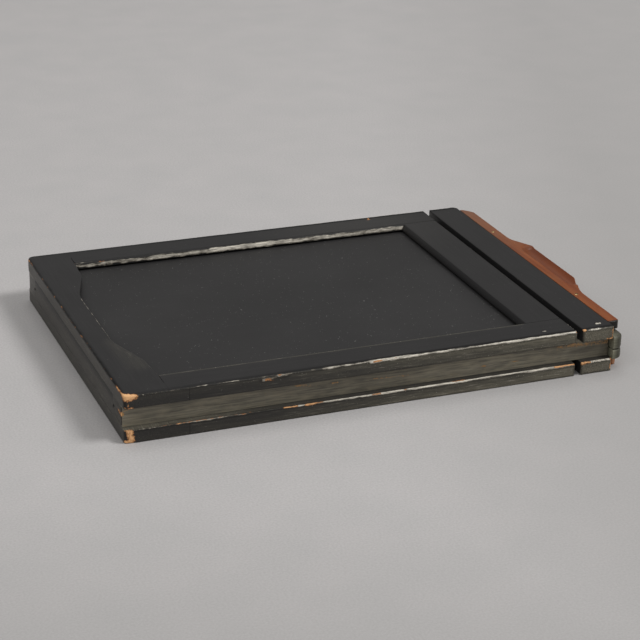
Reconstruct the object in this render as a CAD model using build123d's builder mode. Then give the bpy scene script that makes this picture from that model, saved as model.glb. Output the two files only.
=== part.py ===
"""A wooden double holder for glass photographic plates, with a sheath slide on each face.

X runs along the holder, from the closed end to the pulls of the slides. Y runs across it, and Z up
through its thickness. The origin is on the resting face, under the middle of the whole object.
Every piece of a face is made for the upper face, and mirrored through the middle for the lower one.
"""

import os

from build123d import *

os.makedirs("parts", exist_ok=True)

# Driving dimensions, in millimetres
frame_length = 171.5
frame_width = 127.0
frame_thickness = 16.4
wing_reach = 9.3
rail_width = 12.1
end_rail_length = 14.9
cross_rail_start = 144.2
groove_start = 157.3
groove_width = 2.6
core_thickness = 7.3
edge_recess = 3.1
slide_depth = 2.9
slide_thickness = 1.1
plate_length = 127.0
plate_width = 101.6
running_gap = 0.08
assembly_gap = 0.1

# Heights of the upper face, measured from the resting face
top = frame_thickness
middle = frame_thickness / 2
core_top = middle + core_thickness / 2
slide_top = top - slide_depth
slide_bottom = slide_top - slide_thickness
slot_floor = slide_bottom - running_gap
lip_thickness = 2.2
slot_roof = top - lip_thickness
core_bottom = middle - core_thickness / 2
septum_thickness = 0.8
septum_top = middle + septum_thickness / 2
septum_bottom = middle - septum_thickness / 2

# Half widths, measured from the middle line
half_width = frame_width / 2
half_opening = half_width - rail_width
half_core = half_width - edge_recess
plate_gap = 0.3
half_pocket = plate_width / 2 + plate_gap
half_slot = half_width - 6.2
half_slide = half_slot - plate_gap
septum_groove = 1.5
half_septum = half_pocket + septum_groove - assembly_gap

# Places along the holder, measured from the closed end
slot_end = 5.2
end_block_length = 12.8
groove_end = groove_start + groove_width
plate_end = 145.8
pocket_end = plate_end + plate_gap
grip_start = frame_length + 2 * assembly_gap
overall_length = frame_length + wing_reach

# Rounded and worn edges
edge_round = 0.35
ledge_round = 0.25
corner_round = 1.0
upright_round = 0.6

middle_plane = Plane.XY.offset(middle)
side_plane = Plane.XZ


def along(distance):
    """Give the X of a place from its distance to the closed end."""
    return distance - overall_length / 2


def add_board(x_ends, y_ends, z_ends, mode=Mode.ADD):
    """Add or cut a plain board, given its two ends along X from the closed end, and in Y and Z."""
    x_start, x_stop = along(x_ends[0]), along(x_ends[1])
    with Locations(((x_start + x_stop) / 2, sum(y_ends) / 2, sum(z_ends) / 2)):
        Box(x_stop - x_start, y_ends[1] - y_ends[0], z_ends[1] - z_ends[0], mode=mode)


def edges_along(part, axis, *tests):
    """Choose the straight edges that run along an axis and pass every test on their middle point."""
    chosen = part.edges().filter_by(axis)
    return [edge for edge in chosen if all(test(edge.center()) for test in tests)]


def near(value, wanted):
    """Tell whether two lengths are the same."""
    return abs(value - wanted) < 0.01


# Core rails, which stand back from the edge on both long sides
with BuildPart() as core_rail_near:
    add_board((0, frame_length), (-half_core, -half_pocket), (core_bottom, core_top))
    add_board(
        (0, frame_length),
        (-half_pocket - septum_groove, -half_pocket),
        (septum_bottom, septum_top),
        mode=Mode.SUBTRACT,
    )
core_rail_near.part.label = "core_rail_near"
export_step(core_rail_near.part, "parts/core_rail_near.step")

with BuildPart() as core_rail_far:
    mirror(core_rail_near.part, about=side_plane)
core_rail_far.part.label = "core_rail_far"
export_step(core_rail_far.part, "parts/core_rail_far.step")

# Block that closes the core at the far end from the pulls
with BuildPart() as core_end_block:
    add_board((0, end_block_length), (-half_pocket, half_pocket), (core_bottom, core_top))
    add_board(
        (end_block_length - septum_groove, end_block_length),
        (-half_pocket, half_pocket),
        (septum_bottom, septum_top),
        mode=Mode.SUBTRACT,
    )
core_end_block.part.label = "core_end_block"
export_step(core_end_block.part, "parts/core_end_block.step")

# Block between the plates and the mouth of the slides, troughed on both faces for the light traps
trap_start = 147.4
trap_end = 155.4
trap_depth = 1.6
trap_wall = 1.0
half_trap = half_opening - trap_wall
septum_rebate = 1.0
with BuildPart() as core_head_block:
    add_board((pocket_end, frame_length), (-half_pocket, half_pocket), (core_bottom, core_top))
    add_board(
        (pocket_end, pocket_end + septum_rebate),
        (-half_pocket, half_pocket),
        (septum_bottom, septum_top),
        mode=Mode.SUBTRACT,
    )
    for trough_floor in (core_top - trap_depth, core_bottom):
        add_board(
            (trap_start, trap_end),
            (-half_trap, half_trap),
            (trough_floor, trough_floor + trap_depth),
            mode=Mode.SUBTRACT,
        )
core_head_block.part.label = "core_head_block"
export_step(core_head_block.part, "parts/core_head_block.step")

# Septum, the opaque sheet that parts the two plates
with BuildPart() as septum:
    add_board(
        (end_block_length - septum_groove + assembly_gap, pocket_end + septum_rebate - assembly_gap),
        (-half_septum, half_septum),
        (septum_bottom, septum_top),
    )
septum.part.label = "septum"
export_step(septum.part, "parts/septum.step")

# Side rail of a face, with a rabbet under its inner edge where the slide runs
inner_bevel = 0.4
bevel_depth = 1.6
with BuildPart() as upper_rail_near:
    with BuildSketch(Plane.YZ.offset(along(end_rail_length))):
        with BuildLine():
            Polyline(
                (-half_width, core_top),
                (-half_slot, core_top),
                (-half_slot, slot_roof),
                (-half_opening + inner_bevel, slot_roof),
                (-half_opening + inner_bevel, top - bevel_depth),
                (-half_opening, top),
                (-half_width, top),
                close=True,
            )
        make_face()
    extrude(amount=groove_start - end_rail_length)
    add_board(
        (cross_rail_start, groove_start),
        (-half_opening, -half_opening + inner_bevel),
        (slot_roof, top),
        mode=Mode.SUBTRACT,
    )
    for level, rounding in ((top, edge_round), (core_top, ledge_round)):
        outer = edges_along(
            upper_rail_near.part, Axis.X, lambda c: near(c.Y, -half_width), lambda c: near(c.Z, level)
        )
        fillet(outer, rounding)
upper_rail_near.part.label = "upper_rail_near"

with BuildPart() as upper_rail_far:
    mirror(upper_rail_near.part, about=side_plane)
upper_rail_far.part.label = "upper_rail_far"

# End rail of a face, cut back by a shallow notch for the finger that lifts the plate
notch_floor = 8.5
notch_half_floor = 21.3
notch_half_mouth = 38.5
notch_shoulder = end_rail_length - 0.9
shoulder_round = 9.4
floor_round = 25.0
with BuildPart() as upper_end_rail:
    with BuildSketch(Plane.XY.offset(core_top)):
        with BuildLine():
            shoulders = FilletPolyline(
                (along(end_rail_length), half_opening),
                (along(notch_shoulder), notch_half_mouth),
                (along(notch_floor), notch_half_floor),
                (along(notch_floor), -notch_half_floor),
                (along(notch_shoulder), -notch_half_mouth),
                (along(end_rail_length), -half_opening),
                radius=(shoulder_round, floor_round, floor_round, shoulder_round),
            )
            Polyline(
                shoulders @ 1,
                (along(end_rail_length), -half_width),
                (along(0), -half_width),
                (along(0), half_width),
                (along(end_rail_length), half_width),
                shoulders @ 0,
            )
        make_face()
    extrude(amount=top - core_top)
    add_board(
        (slot_end, end_rail_length),
        (-half_slot, half_slot),
        (core_top, slot_roof),
        mode=Mode.SUBTRACT,
    )
    corners = edges_along(upper_end_rail.part, Axis.Z, lambda c: near(c.X, along(0)))
    fillet(corners, corner_round)
    closed_face = upper_end_rail.part.faces().filter_by(Axis.Z).sort_by(Axis.Z)[-1]
    outer_edges = [
        edge
        for edge in closed_face.edges()
        if edge.center().X < along(slot_end) or near(abs(edge.center().Y), half_width)
    ]
    fillet(outer_edges, edge_round)
upper_end_rail.part.label = "upper_end_rail"

# Cross rail of a face, a lip over the slide between the opening and the groove
cross_bevel = 0.9
with BuildPart() as upper_cross_rail:
    with BuildSketch(Plane.XZ.offset(-half_opening)):
        with BuildLine():
            Polyline(
                (along(cross_rail_start - cross_bevel), slot_roof),
                (along(groove_start), slot_roof),
                (along(groove_start), top),
                (along(cross_rail_start), top),
                (along(cross_rail_start - cross_bevel), top - bevel_depth),
                close=True,
            )
        make_face()
    extrude(amount=2 * half_opening)
    for side in (-1, 1):
        add_board(
            (cross_rail_start - cross_bevel, cross_rail_start),
            sorted((side * (half_opening - inner_bevel), side * half_opening)),
            (slot_roof, top),
            mode=Mode.SUBTRACT,
        )
upper_cross_rail.part.label = "upper_cross_rail"

# Head strip of a face, beyond the groove that locks the holder to a camera
with BuildPart() as upper_head_strip:
    add_board((groove_end, frame_length), (-half_width, half_width), (core_top, top))
    add_board(
        (groove_end, frame_length),
        (-half_slot, half_slot),
        (core_top, slot_roof),
        mode=Mode.SUBTRACT,
    )
    uprights = edges_along(
        upper_head_strip.part,
        Axis.Z,
        lambda c: near(abs(c.Y), half_width),
        lambda c: near(c.X, along(frame_length)),
    )
    fillet(uprights, upright_round)
    outer = edges_along(
        upper_head_strip.part, Axis.X, lambda c: near(abs(c.Y), half_width), lambda c: near(c.Z, top)
    )
    fillet(outer, edge_round)
upper_head_strip.part.label = "upper_head_strip"

# Runners on the core rails, which carry the long edges of the slide
with BuildPart() as upper_runner_near:
    add_board(
        (slot_end + 3 * assembly_gap, frame_length),
        (-half_slot + 2 * assembly_gap, -half_pocket),
        (core_top, slot_floor),
    )
upper_runner_near.part.label = "upper_runner_near"

with BuildPart() as upper_runner_far:
    mirror(upper_runner_near.part, about=side_plane)
upper_runner_far.part.label = "upper_runner_far"

# Sill under the head strip, which carries the slide at its mouth
with BuildPart() as upper_mouth_sill:
    add_board((trap_end + trap_wall, frame_length), (-half_pocket, half_pocket), (core_top, slot_floor))
upper_mouth_sill.part.label = "upper_mouth_sill"

# Light trap: a bowed leaf spring in the trough, with a strip of velvet on its crown
leaf_thickness = 0.3
velvet_thickness = 1.1
half_velvet_width = 2.5
trap_middle = (trap_start + trap_end) / 2
velvet_bottom = slot_floor - velvet_thickness
half_leaf = half_trap - 0.5
leaf_foot = core_top - trap_depth + 0.02
leaf_tip = core_top - trap_depth + 0.1
half_leaf_foot = (trap_end - trap_start) / 2 - 0.5
half_leaf_tip = (trap_end - trap_start) / 2 - 0.2
with BuildPart() as upper_trap_spring:
    with BuildSketch(Plane.XZ.offset(-half_leaf)):
        with BuildLine():
            underside = ThreePointArc(
                (along(trap_middle - half_leaf_foot), leaf_foot),
                (along(trap_middle), velvet_bottom - leaf_thickness),
                (along(trap_middle + half_leaf_foot), leaf_foot),
            )
            upside = ThreePointArc(
                (along(trap_middle + half_leaf_tip), leaf_tip),
                (along(trap_middle), velvet_bottom),
                (along(trap_middle - half_leaf_tip), leaf_tip),
            )
            Line(underside @ 1, upside @ 0)
            Line(upside @ 1, underside @ 0)
        make_face()
    extrude(amount=2 * half_leaf)
upper_trap_spring.part.label = "upper_trap_spring"

with BuildPart() as upper_trap_velvet:
    add_board(
        (trap_middle - half_velvet_width, trap_middle + half_velvet_width),
        (-half_leaf, half_leaf),
        (velvet_bottom, slot_floor),
    )
upper_trap_velvet.part.label = "upper_trap_velvet"

# Pressure spring, a bowed strip that lifts the plate to the plane of focus
plate_seat_depth = 5.2
plate_thickness = 1.5
spring_crown = top - plate_seat_depth - plate_thickness
spring_middle = plate_end - plate_length / 2
half_spring_foot = 30.0
half_spring_tip = 33.0
half_spring_width = 6.0
with BuildPart() as upper_pressure_spring:
    with BuildSketch(Plane.XZ.offset(-half_spring_width)):
        with BuildLine():
            underside = ThreePointArc(
                (along(spring_middle - half_spring_foot), septum_top),
                (along(spring_middle), spring_crown - leaf_thickness),
                (along(spring_middle + half_spring_foot), septum_top),
            )
            upside = ThreePointArc(
                (along(spring_middle + half_spring_tip), septum_top),
                (along(spring_middle), spring_crown),
                (along(spring_middle - half_spring_tip), septum_top),
            )
            Line(underside @ 1, upside @ 0)
            Line(upside @ 1, underside @ 0)
        make_face()
    extrude(amount=2 * half_spring_width)
upper_pressure_spring.part.label = "upper_pressure_spring"

# Plate catch, a bent brass strip that a finger pushes back to free the plate
catch_travel = 2.8
catch_pin_radius = 0.8
catch_pin_place = 21.8
catch_pin_spread = 22.0
catch_face = plate_end - plate_length
catch_sheet = 0.6
catch_top = core_top - 0.3
foot_bottom = septum_top + assembly_gap
foot_thickness = 0.4
foot_end = catch_pin_place + catch_travel + 3.0
half_catch = 30.0
with BuildPart() as upper_plate_catch:
    add_board((catch_face - catch_sheet, catch_face), (-half_catch, half_catch), (foot_bottom, catch_top))
    add_board(
        (catch_face - catch_sheet, foot_end),
        (-half_catch, half_catch),
        (foot_bottom, foot_bottom + foot_thickness),
    )
    for side in (-1, 1):
        with BuildSketch(Plane.XY.offset(foot_bottom)):
            with Locations((along(catch_pin_place + catch_travel / 2), side * catch_pin_spread)):
                SlotCenterToCenter(catch_travel + assembly_gap, 2 * (catch_pin_radius + assembly_gap))
        extrude(amount=foot_thickness, mode=Mode.SUBTRACT)
upper_plate_catch.part.label = "upper_plate_catch"

# Headed guide pins of the catch, riveted in the septum
pin_head_height = 0.3
pin_shank = foot_thickness + 2 * assembly_gap
with BuildPart() as upper_catch_pins:
    for side in (-1, 1):
        with BuildSketch(Plane.XY.offset(septum_top)):
            with Locations((along(catch_pin_place), side * catch_pin_spread)):
                Circle(catch_pin_radius)
        extrude(amount=pin_shank)
        with BuildSketch(Plane.XY.offset(septum_top + pin_shank)):
            with Locations((along(catch_pin_place), side * catch_pin_spread)):
                Circle(2 * catch_pin_radius)
        extrude(amount=pin_head_height)
upper_catch_pins.part.label = "upper_catch_pins"

# Bow spring between the end block and the catch
bow_thickness = 0.35
bow_height = 1.8
half_bow_foot = 26.0
half_bow_tip = 27.5
bow_crown = catch_face - catch_sheet - 0.05
with BuildPart() as upper_catch_spring:
    with BuildSketch(Plane.XY.offset(foot_bottom + foot_thickness + assembly_gap)):
        with BuildLine():
            inside = ThreePointArc(
                (along(end_block_length), -half_bow_foot),
                (along(bow_crown - bow_thickness), 0),
                (along(end_block_length), half_bow_foot),
            )
            outside = ThreePointArc(
                (along(end_block_length), half_bow_tip),
                (along(bow_crown), 0),
                (along(end_block_length), -half_bow_tip),
            )
            Line(inside @ 1, outside @ 0)
            Line(outside @ 1, inside @ 0)
        make_face()
    extrude(amount=bow_height)
upper_catch_spring.part.label = "upper_catch_spring"

# Slide, the thin sheath that covers the plate
sheath_start = slot_end + 0.4
sheath_round = 2.0
grip_face = 175.9
with BuildPart() as upper_slide_sheet:
    add_board((sheath_start, grip_face - 0.3), (-half_slide, half_slide), (slide_bottom, slide_top))
    leading = edges_along(upper_slide_sheet.part, Axis.Z, lambda c: c.X < 0)
    fillet(leading, sheath_round)
upper_slide_sheet.part.label = "upper_slide_sheet"

# Grip, the bare wood strip of the pull, with a wing scooped for a fingertip. It was shaped by hand, so
# it is a little narrower at its far end, its far shoulder is steeper than its near one, and its far end
# is rounded off more.
grip_near = -half_width + 4.2
grip_far = half_width - 3.7
grip_taper = 1.0
far_wing_foot = 24.2
far_wing_tip = 14.8
near_wing_tip = -17.9
near_wing_foot = -31.3
near_face = grip_face + grip_taper / 2
far_face = grip_face - grip_taper / 2
scoop_radius = 4.2
scoop_depth = 1.35
scoop_middle = 178.0
scoop_near = -21.9
scoop_far = 13.0
scoop_axis = top - scoop_depth + scoop_radius
grip_pin_place = 173.2
grip_pin_spread = 33.3
grip_pin_radius = 0.75
with BuildPart() as upper_pull_grip:
    with BuildSketch(Plane.XY.offset(slide_top)):
        with BuildLine():
            outline = FilletPolyline(
                (along(grip_start), grip_far),
                (along(far_face - 0.9), grip_far - 2.3),
                (along(far_face), grip_far - 7.8),
                (along(far_face), far_wing_foot),
                (along(overall_length), far_wing_tip),
                (along(overall_length), near_wing_tip),
                (along(near_face), near_wing_foot),
                (along(near_face), grip_near),
                (along(grip_start), grip_near),
                radius=(2.5, 8.0, 8.0, 2.5, 5.0, 12.0, 1.6),
            )
            Line(outline @ 1, outline @ 0)
        make_face()
    extrude(amount=slide_depth)
    with Locations((along(scoop_middle), (scoop_near + scoop_far) / 2, scoop_axis)):
        Cylinder(scoop_radius, scoop_far - scoop_near, rotation=(90, 0, 0), mode=Mode.SUBTRACT)
    with Locations(
        (along(scoop_middle), scoop_near, scoop_axis),
        (along(scoop_middle), scoop_far, scoop_axis),
    ):
        Sphere(scoop_radius, mode=Mode.SUBTRACT)
upper_pull_grip.part.label = "upper_pull_grip"

# Backings, the black strips on the inner side of the pulls, as wide as the frame. The upper one is the
# thicker, so they part a little below the middle.
backing_round = 2.6
backing_split = 7.6
backing_gap = 0.3
backings = []
for backing_name, backing_ends in (
    ("upper_pull_backing", (backing_split + backing_gap / 2, slide_bottom)),
    ("lower_pull_backing", (frame_thickness - slide_bottom, backing_split - backing_gap / 2)),
):
    with BuildPart() as backing:
        add_board((grip_start, grip_face), (-half_width, half_width), backing_ends)
        outer = edges_along(backing.part, Axis.Z, lambda c: near(c.X, along(grip_face)))
        fillet(outer, backing_round)
    backing.part.label = backing_name
    backings.append(backing)

# Brass pins through the grip, the sheet and the backing
pin_length = 5.7
with BuildPart() as upper_pull_pins:
    for side in (-1, 1):
        with BuildSketch(Plane.XY.offset(top - pin_length)):
            with Locations((along(grip_pin_place), side * grip_pin_spread)):
                Circle(grip_pin_radius)
        extrude(amount=pin_length)
upper_pull_pins.part.label = "upper_pull_pins"

for pinned in (upper_pull_grip, upper_slide_sheet, *backings):
    pinned_name = pinned.part.label
    with pinned:
        add(upper_pull_pins.part, mode=Mode.SUBTRACT)
        mirror(upper_pull_pins.part, about=middle_plane, mode=Mode.SUBTRACT)
    pinned.part.label = pinned_name
for backing in backings:
    export_step(backing.part, f"parts/{backing.part.label}.step")

# Every piece of the upper face, and its mirror image on the lower face
for upper in (
    upper_rail_near,
    upper_rail_far,
    upper_end_rail,
    upper_cross_rail,
    upper_head_strip,
    upper_runner_near,
    upper_runner_far,
    upper_mouth_sill,
    upper_trap_spring,
    upper_trap_velvet,
    upper_pressure_spring,
    upper_plate_catch,
    upper_catch_pins,
    upper_catch_spring,
    upper_slide_sheet,
    upper_pull_grip,
    upper_pull_pins,
):
    export_step(upper.part, f"parts/{upper.part.label}.step")
    with BuildPart() as lower:
        mirror(upper.part, about=middle_plane)
    lower.part.label = upper.part.label.replace("upper", "lower")
    export_step(lower.part, f"parts/{lower.part.label}.step")
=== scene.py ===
# %% [markdown]
# # A worn wooden plate holder
#
# The real object is a double holder for two glass plates. Two painted wooden faces sit on a narrower
# core, and each face has a thin slide that is drawn out by a flat wooden pull. Decades of use have
# rubbed the black paint off its edges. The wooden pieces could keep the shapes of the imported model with
# a new finish, but those edges are perfectly sharp. So each piece that shows is modelled again at the
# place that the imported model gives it, with edges that are rounded, dented and worn.

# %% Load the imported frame
import math

import bmesh
import bpy
import numpy as np
from mathutils import Matrix, Vector, noise


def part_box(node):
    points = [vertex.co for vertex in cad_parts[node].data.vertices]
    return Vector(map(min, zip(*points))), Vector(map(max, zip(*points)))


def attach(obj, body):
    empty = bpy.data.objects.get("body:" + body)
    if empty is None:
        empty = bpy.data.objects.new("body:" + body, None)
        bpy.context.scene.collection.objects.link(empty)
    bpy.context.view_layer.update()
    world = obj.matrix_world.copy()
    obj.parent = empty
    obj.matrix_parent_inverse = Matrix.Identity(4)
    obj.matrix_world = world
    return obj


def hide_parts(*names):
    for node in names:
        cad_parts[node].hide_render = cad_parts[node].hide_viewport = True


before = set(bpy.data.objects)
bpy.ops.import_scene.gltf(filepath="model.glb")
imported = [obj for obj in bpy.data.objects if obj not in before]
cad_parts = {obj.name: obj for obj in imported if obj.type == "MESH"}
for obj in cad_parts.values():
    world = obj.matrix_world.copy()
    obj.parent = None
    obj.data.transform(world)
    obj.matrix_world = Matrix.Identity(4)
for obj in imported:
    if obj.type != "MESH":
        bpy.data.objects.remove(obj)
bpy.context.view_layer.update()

mm = 0.001
print("pieces in the packed frame:", len(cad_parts))

# %% [markdown]
# ## Sizes that the pieces share
#
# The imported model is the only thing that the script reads, so every size is taken from the boxes of its
# pieces. Only what a box can't tell, such as the depth of a hollow, is written here as a real length.

# %% Read the shared sizes
end_low, end_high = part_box("upper_end_rail")
cross_low, cross_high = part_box("upper_cross_rail")
strip_low, strip_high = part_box("upper_head_strip")
core_low, core_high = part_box("core_rail_far")
sheet_low, sheet_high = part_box("upper_slide_sheet")

closed_x = end_low.x
opening_x = end_high.x
cross_x = cross_low.x
groove_x = cross_high.x
strip_x = strip_low.x
mouth_x = strip_high.x
half_width = end_high.y
half_opening = cross_high.y
half_slot = sheet_high.y + 0.3 * mm
half_core = core_high.y
top_z = end_high.z
core_top_z = end_low.z
core_bottom_z = core_low.z
middle_z = top_z / 2
lip_z = cross_low.z
lip_thickness = top_z - lip_z
slot_x = sheet_low.x - 0.4 * mm
frame_sizes = (mouth_x - closed_x, 2 * half_width, top_z)
print("frame in mm:", [round(size / mm, 1) for size in frame_sizes])

# %% [markdown]
# ## The camera
#
# The photograph was taken with a long lens from the front left, a little above the table. A pinhole
# camera was fitted to the corners of the frame, the opening and the groove. It is written here as the
# place of the camera and the three directions that it looks along, so no constraint has to aim it.

# %% Set up the camera
camera_place = Vector((-235.6, -589.8, 271.4)) * mm
camera_right = Vector((0.93155, -0.36318, 0.01772))
camera_up = Vector((0.12555, 0.36700, 0.92171))
camera_back = camera_right.cross(camera_up)
focal_length = 109.68
sensor_width = 36.0

bpy.ops.object.select_all(action="DESELECT")
bpy.ops.object.camera_add()
camera = bpy.context.object
camera.name = "photograph_camera"
camera_turn = Matrix((camera_right, camera_up, camera_back)).transposed().to_4x4()
camera.matrix_world = Matrix.Translation(camera_place) @ camera_turn
camera.data.sensor_width = sensor_width
camera.data.lens = focal_length
camera.data.clip_start = 10 * mm
bpy.context.scene.camera = camera
print("camera to the middle of the holder in mm:", round(camera_place.length / mm))

# %% [markdown]
# ## Tools for the mesh work
#
# The pieces are boards, so each one starts as a cube at the size and place of a board. It is then
# sliced, and its faces are pulled out or pushed in, as in edit mode by hand. Operators act on whatever
# is selected, so these helpers first clear the selection, and then choose faces, edges or points by
# where they are.

# %% Start a piece and choose parts of it
def start_board(name, low, high):
    """Add a cube that fills a box, and go into edit mode with all of it selected."""
    bpy.ops.object.select_all(action="DESELECT")
    low, high = Vector(low), Vector(high)
    bpy.ops.mesh.primitive_cube_add(size=1, location=(low + high) / 2, scale=high - low)
    piece = bpy.context.object
    piece.name = name
    piece.data.name = name
    bpy.ops.object.transform_apply(location=True, rotation=False, scale=True)
    bpy.ops.object.mode_set(mode="EDIT")
    bpy.ops.mesh.select_all(action="SELECT")
    return piece


def choose(kind, test):
    """Select the faces, edges or points whose middle passes the test, and nothing else.

    The test of a face is also given the way that the face looks.
    """
    bpy.ops.mesh.select_mode(type=kind)
    bpy.ops.mesh.select_all(action="DESELECT")
    mesh = bpy.context.object.data
    shape = bmesh.from_edit_mesh(mesh)
    if kind == "VERT":
        chosen = [point for point in shape.verts if test(point.co)]
    elif kind == "EDGE":
        chosen = [edge for edge in shape.edges if test((edge.verts[0].co + edge.verts[1].co) / 2)]
    else:
        chosen = [face for face in shape.faces if test(face.calc_center_median(), face.normal)]
    for item in chosen:
        item.select_set(True)
    shape.select_flush_mode()
    bmesh.update_edit_mesh(mesh)
    return len(chosen)


def near(value, wanted, gap=0.02 * mm):
    """Tell whether two lengths are the same."""
    return abs(value - wanted) < gap


def slice_at(axis, places):
    """Cut the whole piece across an axis at each place."""
    normal = Vector((0, 0, 0))
    normal[axis] = 1
    for place in places:
        bpy.ops.mesh.select_all(action="SELECT")
        bpy.ops.mesh.bisect(plane_co=normal * place, plane_no=normal)


def round_edges(radius, test, segments=3):
    """Round the edges whose middle passes the test."""
    if choose("EDGE", test):
        bpy.ops.mesh.bevel(offset=radius, segments=segments, affect="EDGES")


def reshape(rule):
    """Move every point of the piece to where the rule puts it."""
    mesh = bpy.context.object.data
    shape = bmesh.from_edit_mesh(mesh)
    for point in shape.verts:
        point.co = rule(point.co)
    bmesh.update_edit_mesh(mesh)


def steps(low, high, step):
    """Give evenly spaced places between two ends, about a step apart."""
    count = max(1, round((high - low) / step))
    return [low + (high - low) * number / count for number in range(1, count)]


# %% Finish a piece
def finish_piece(piece, smooth_angle=35):
    """Leave edit mode with clean faces that point outwards, and smooth the rounded edges."""
    bpy.ops.mesh.select_all(action="SELECT")
    bpy.ops.mesh.remove_doubles(threshold=0.001 * mm)
    bpy.ops.mesh.normals_make_consistent(inside=False)
    # a shell that is inside out has a negative volume
    if bmesh.from_edit_mesh(piece.data).calc_volume(signed=True) < 0:
        bpy.ops.mesh.flip_normals()
    bpy.ops.object.mode_set(mode="OBJECT")
    bpy.ops.object.shade_smooth_by_angle(angle=math.radians(smooth_angle))


def hand_over(piece, material, body, slot, *nodes):
    """Give a piece its finish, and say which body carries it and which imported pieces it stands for."""
    piece.data.materials.append(material)
    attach(piece, body)
    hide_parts(*nodes)
    print("made", piece.name, "with", len(piece.data.polygons), "faces")


# %% [markdown]
# ## Wear
#
# On the real holder the paint is rubbed along the long edges, where hands and camera grooves touch it,
# and knocked off at the corners. A texture alone can't know where the edges are. So each point of a
# piece stores four amounts, from 0 for none to about 1 for all:
#
# - rub, for paint burnished to a grey shine along edges and in rubbed patches, whose strongest amounts are a
#   painted highlight
# - bare, for wood that has lost its paint or its stain
# - worn_thin_and_painted_light, for broad places where brown shows through, and for painted light on the
#   closed end and painted sheen on the sides towards the pulls
# - grime_and_shade, for dark strips: painted shade beside the rims, under the upper face and on the ends of
#   the pulls, a darkening of the core towards the mouth, and the broken edge of the closed end, with painted
#   shade on its near side
#
# The materials then break the amounts up with noise, so that the border of a chip is crisp at any
# distance. The first two also press the surface in a little, so that the wear has a shape.

# %% List the worn edges
def spot(from_closed, across, height):
    """Give a place from millimetres: from the closed end, across from the middle line, and up."""
    return (closed_x + from_closed * mm, across * mm, height * mm)


def face_level(upper, depth):
    """Give the height that lies a depth under the outer side of the upper or the lower face."""
    return top_z - depth if upper else depth


layer_depth = top_z - core_top_z
edge_lines = []


def add_edge(start, end, start_wear, end_wear=None):
    """List an edge, with how worn it is at its start and at its end."""
    edge_lines.append((start, end, start_wear, start_wear if end_wear is None else end_wear))


def add_long_edge(x_ends, y, z, *wear):
    """List an edge that runs along the holder, from the closed end towards the pulls."""
    add_edge((x_ends[0], y, z), (x_ends[1], y, z), *wear)


def add_cross_edge(x, half_length, z, *wear):
    """List an edge that runs across the holder, from its near side to its far side."""
    add_edge((x, -half_length, z), (x, half_length, z), *wear)


# the wear of the long edges grows towards the groove, and above about 1 it is a painted highlight
for outer_z, worn in ((top_z, 1.0), (0, 0.5)):
    for side in (-1, 1):
        add_long_edge((closed_x, groove_x), side * half_width, outer_z, 0.8 * worn, 1.3 * worn)
        add_long_edge((strip_x, mouth_x), side * half_width, outer_z, 0.85)
        add_long_edge((opening_x, cross_x), side * half_opening, outer_z, 0.6 if side < 0 else 0.8)
    add_cross_edge(closed_x, half_width, outer_z, 0.6, 0.7)
    add_cross_edge(groove_x, half_width, outer_z, 0.75, 0.6)
    add_cross_edge(strip_x, half_width, outer_z, 0.65)
    add_cross_edge(mouth_x, half_width, outer_z, 0.6)
    add_cross_edge(cross_x, half_opening, outer_z, 0.5)
# the edges beside the core are worn the same way; on the lower face's edge the wear passes 1 towards the
# groove, a painted highlight
for inner_z, worn in ((core_top_z, 0.5), (core_bottom_z, 1.0)):
    for side in (-1, 1):
        add_long_edge((closed_x, groove_x), side * half_width, inner_z, 0.8 * worn, 1.35 * worn)
        add_long_edge((strip_x, mouth_x), side * half_width, inner_z, 1.1 * worn)
for y in (-half_width, half_width):
    for low_z, high_z in ((0, layer_depth), (core_top_z, top_z)):
        for edge_x, wear in ((closed_x, 0.8), (groove_x, 0.7), (strip_x, 0.7), (mouth_x, 0.95)):
            add_edge((edge_x, y, low_z), (edge_x, y, high_z), wear)
print("worn edges:", len(edge_lines))

# %% [markdown]
# The worst knocks are listed one by one. Each is a short line from one place to another, with how far it
# reaches in millimetres and how strong it is. They sit where the photograph shows them: at the near left
# corner, along the near edges, beside the groove, along the far edge of the opening and by the finger
# notch. The far side and the lower face don't show in it, so their few knocks are made up.

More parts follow.
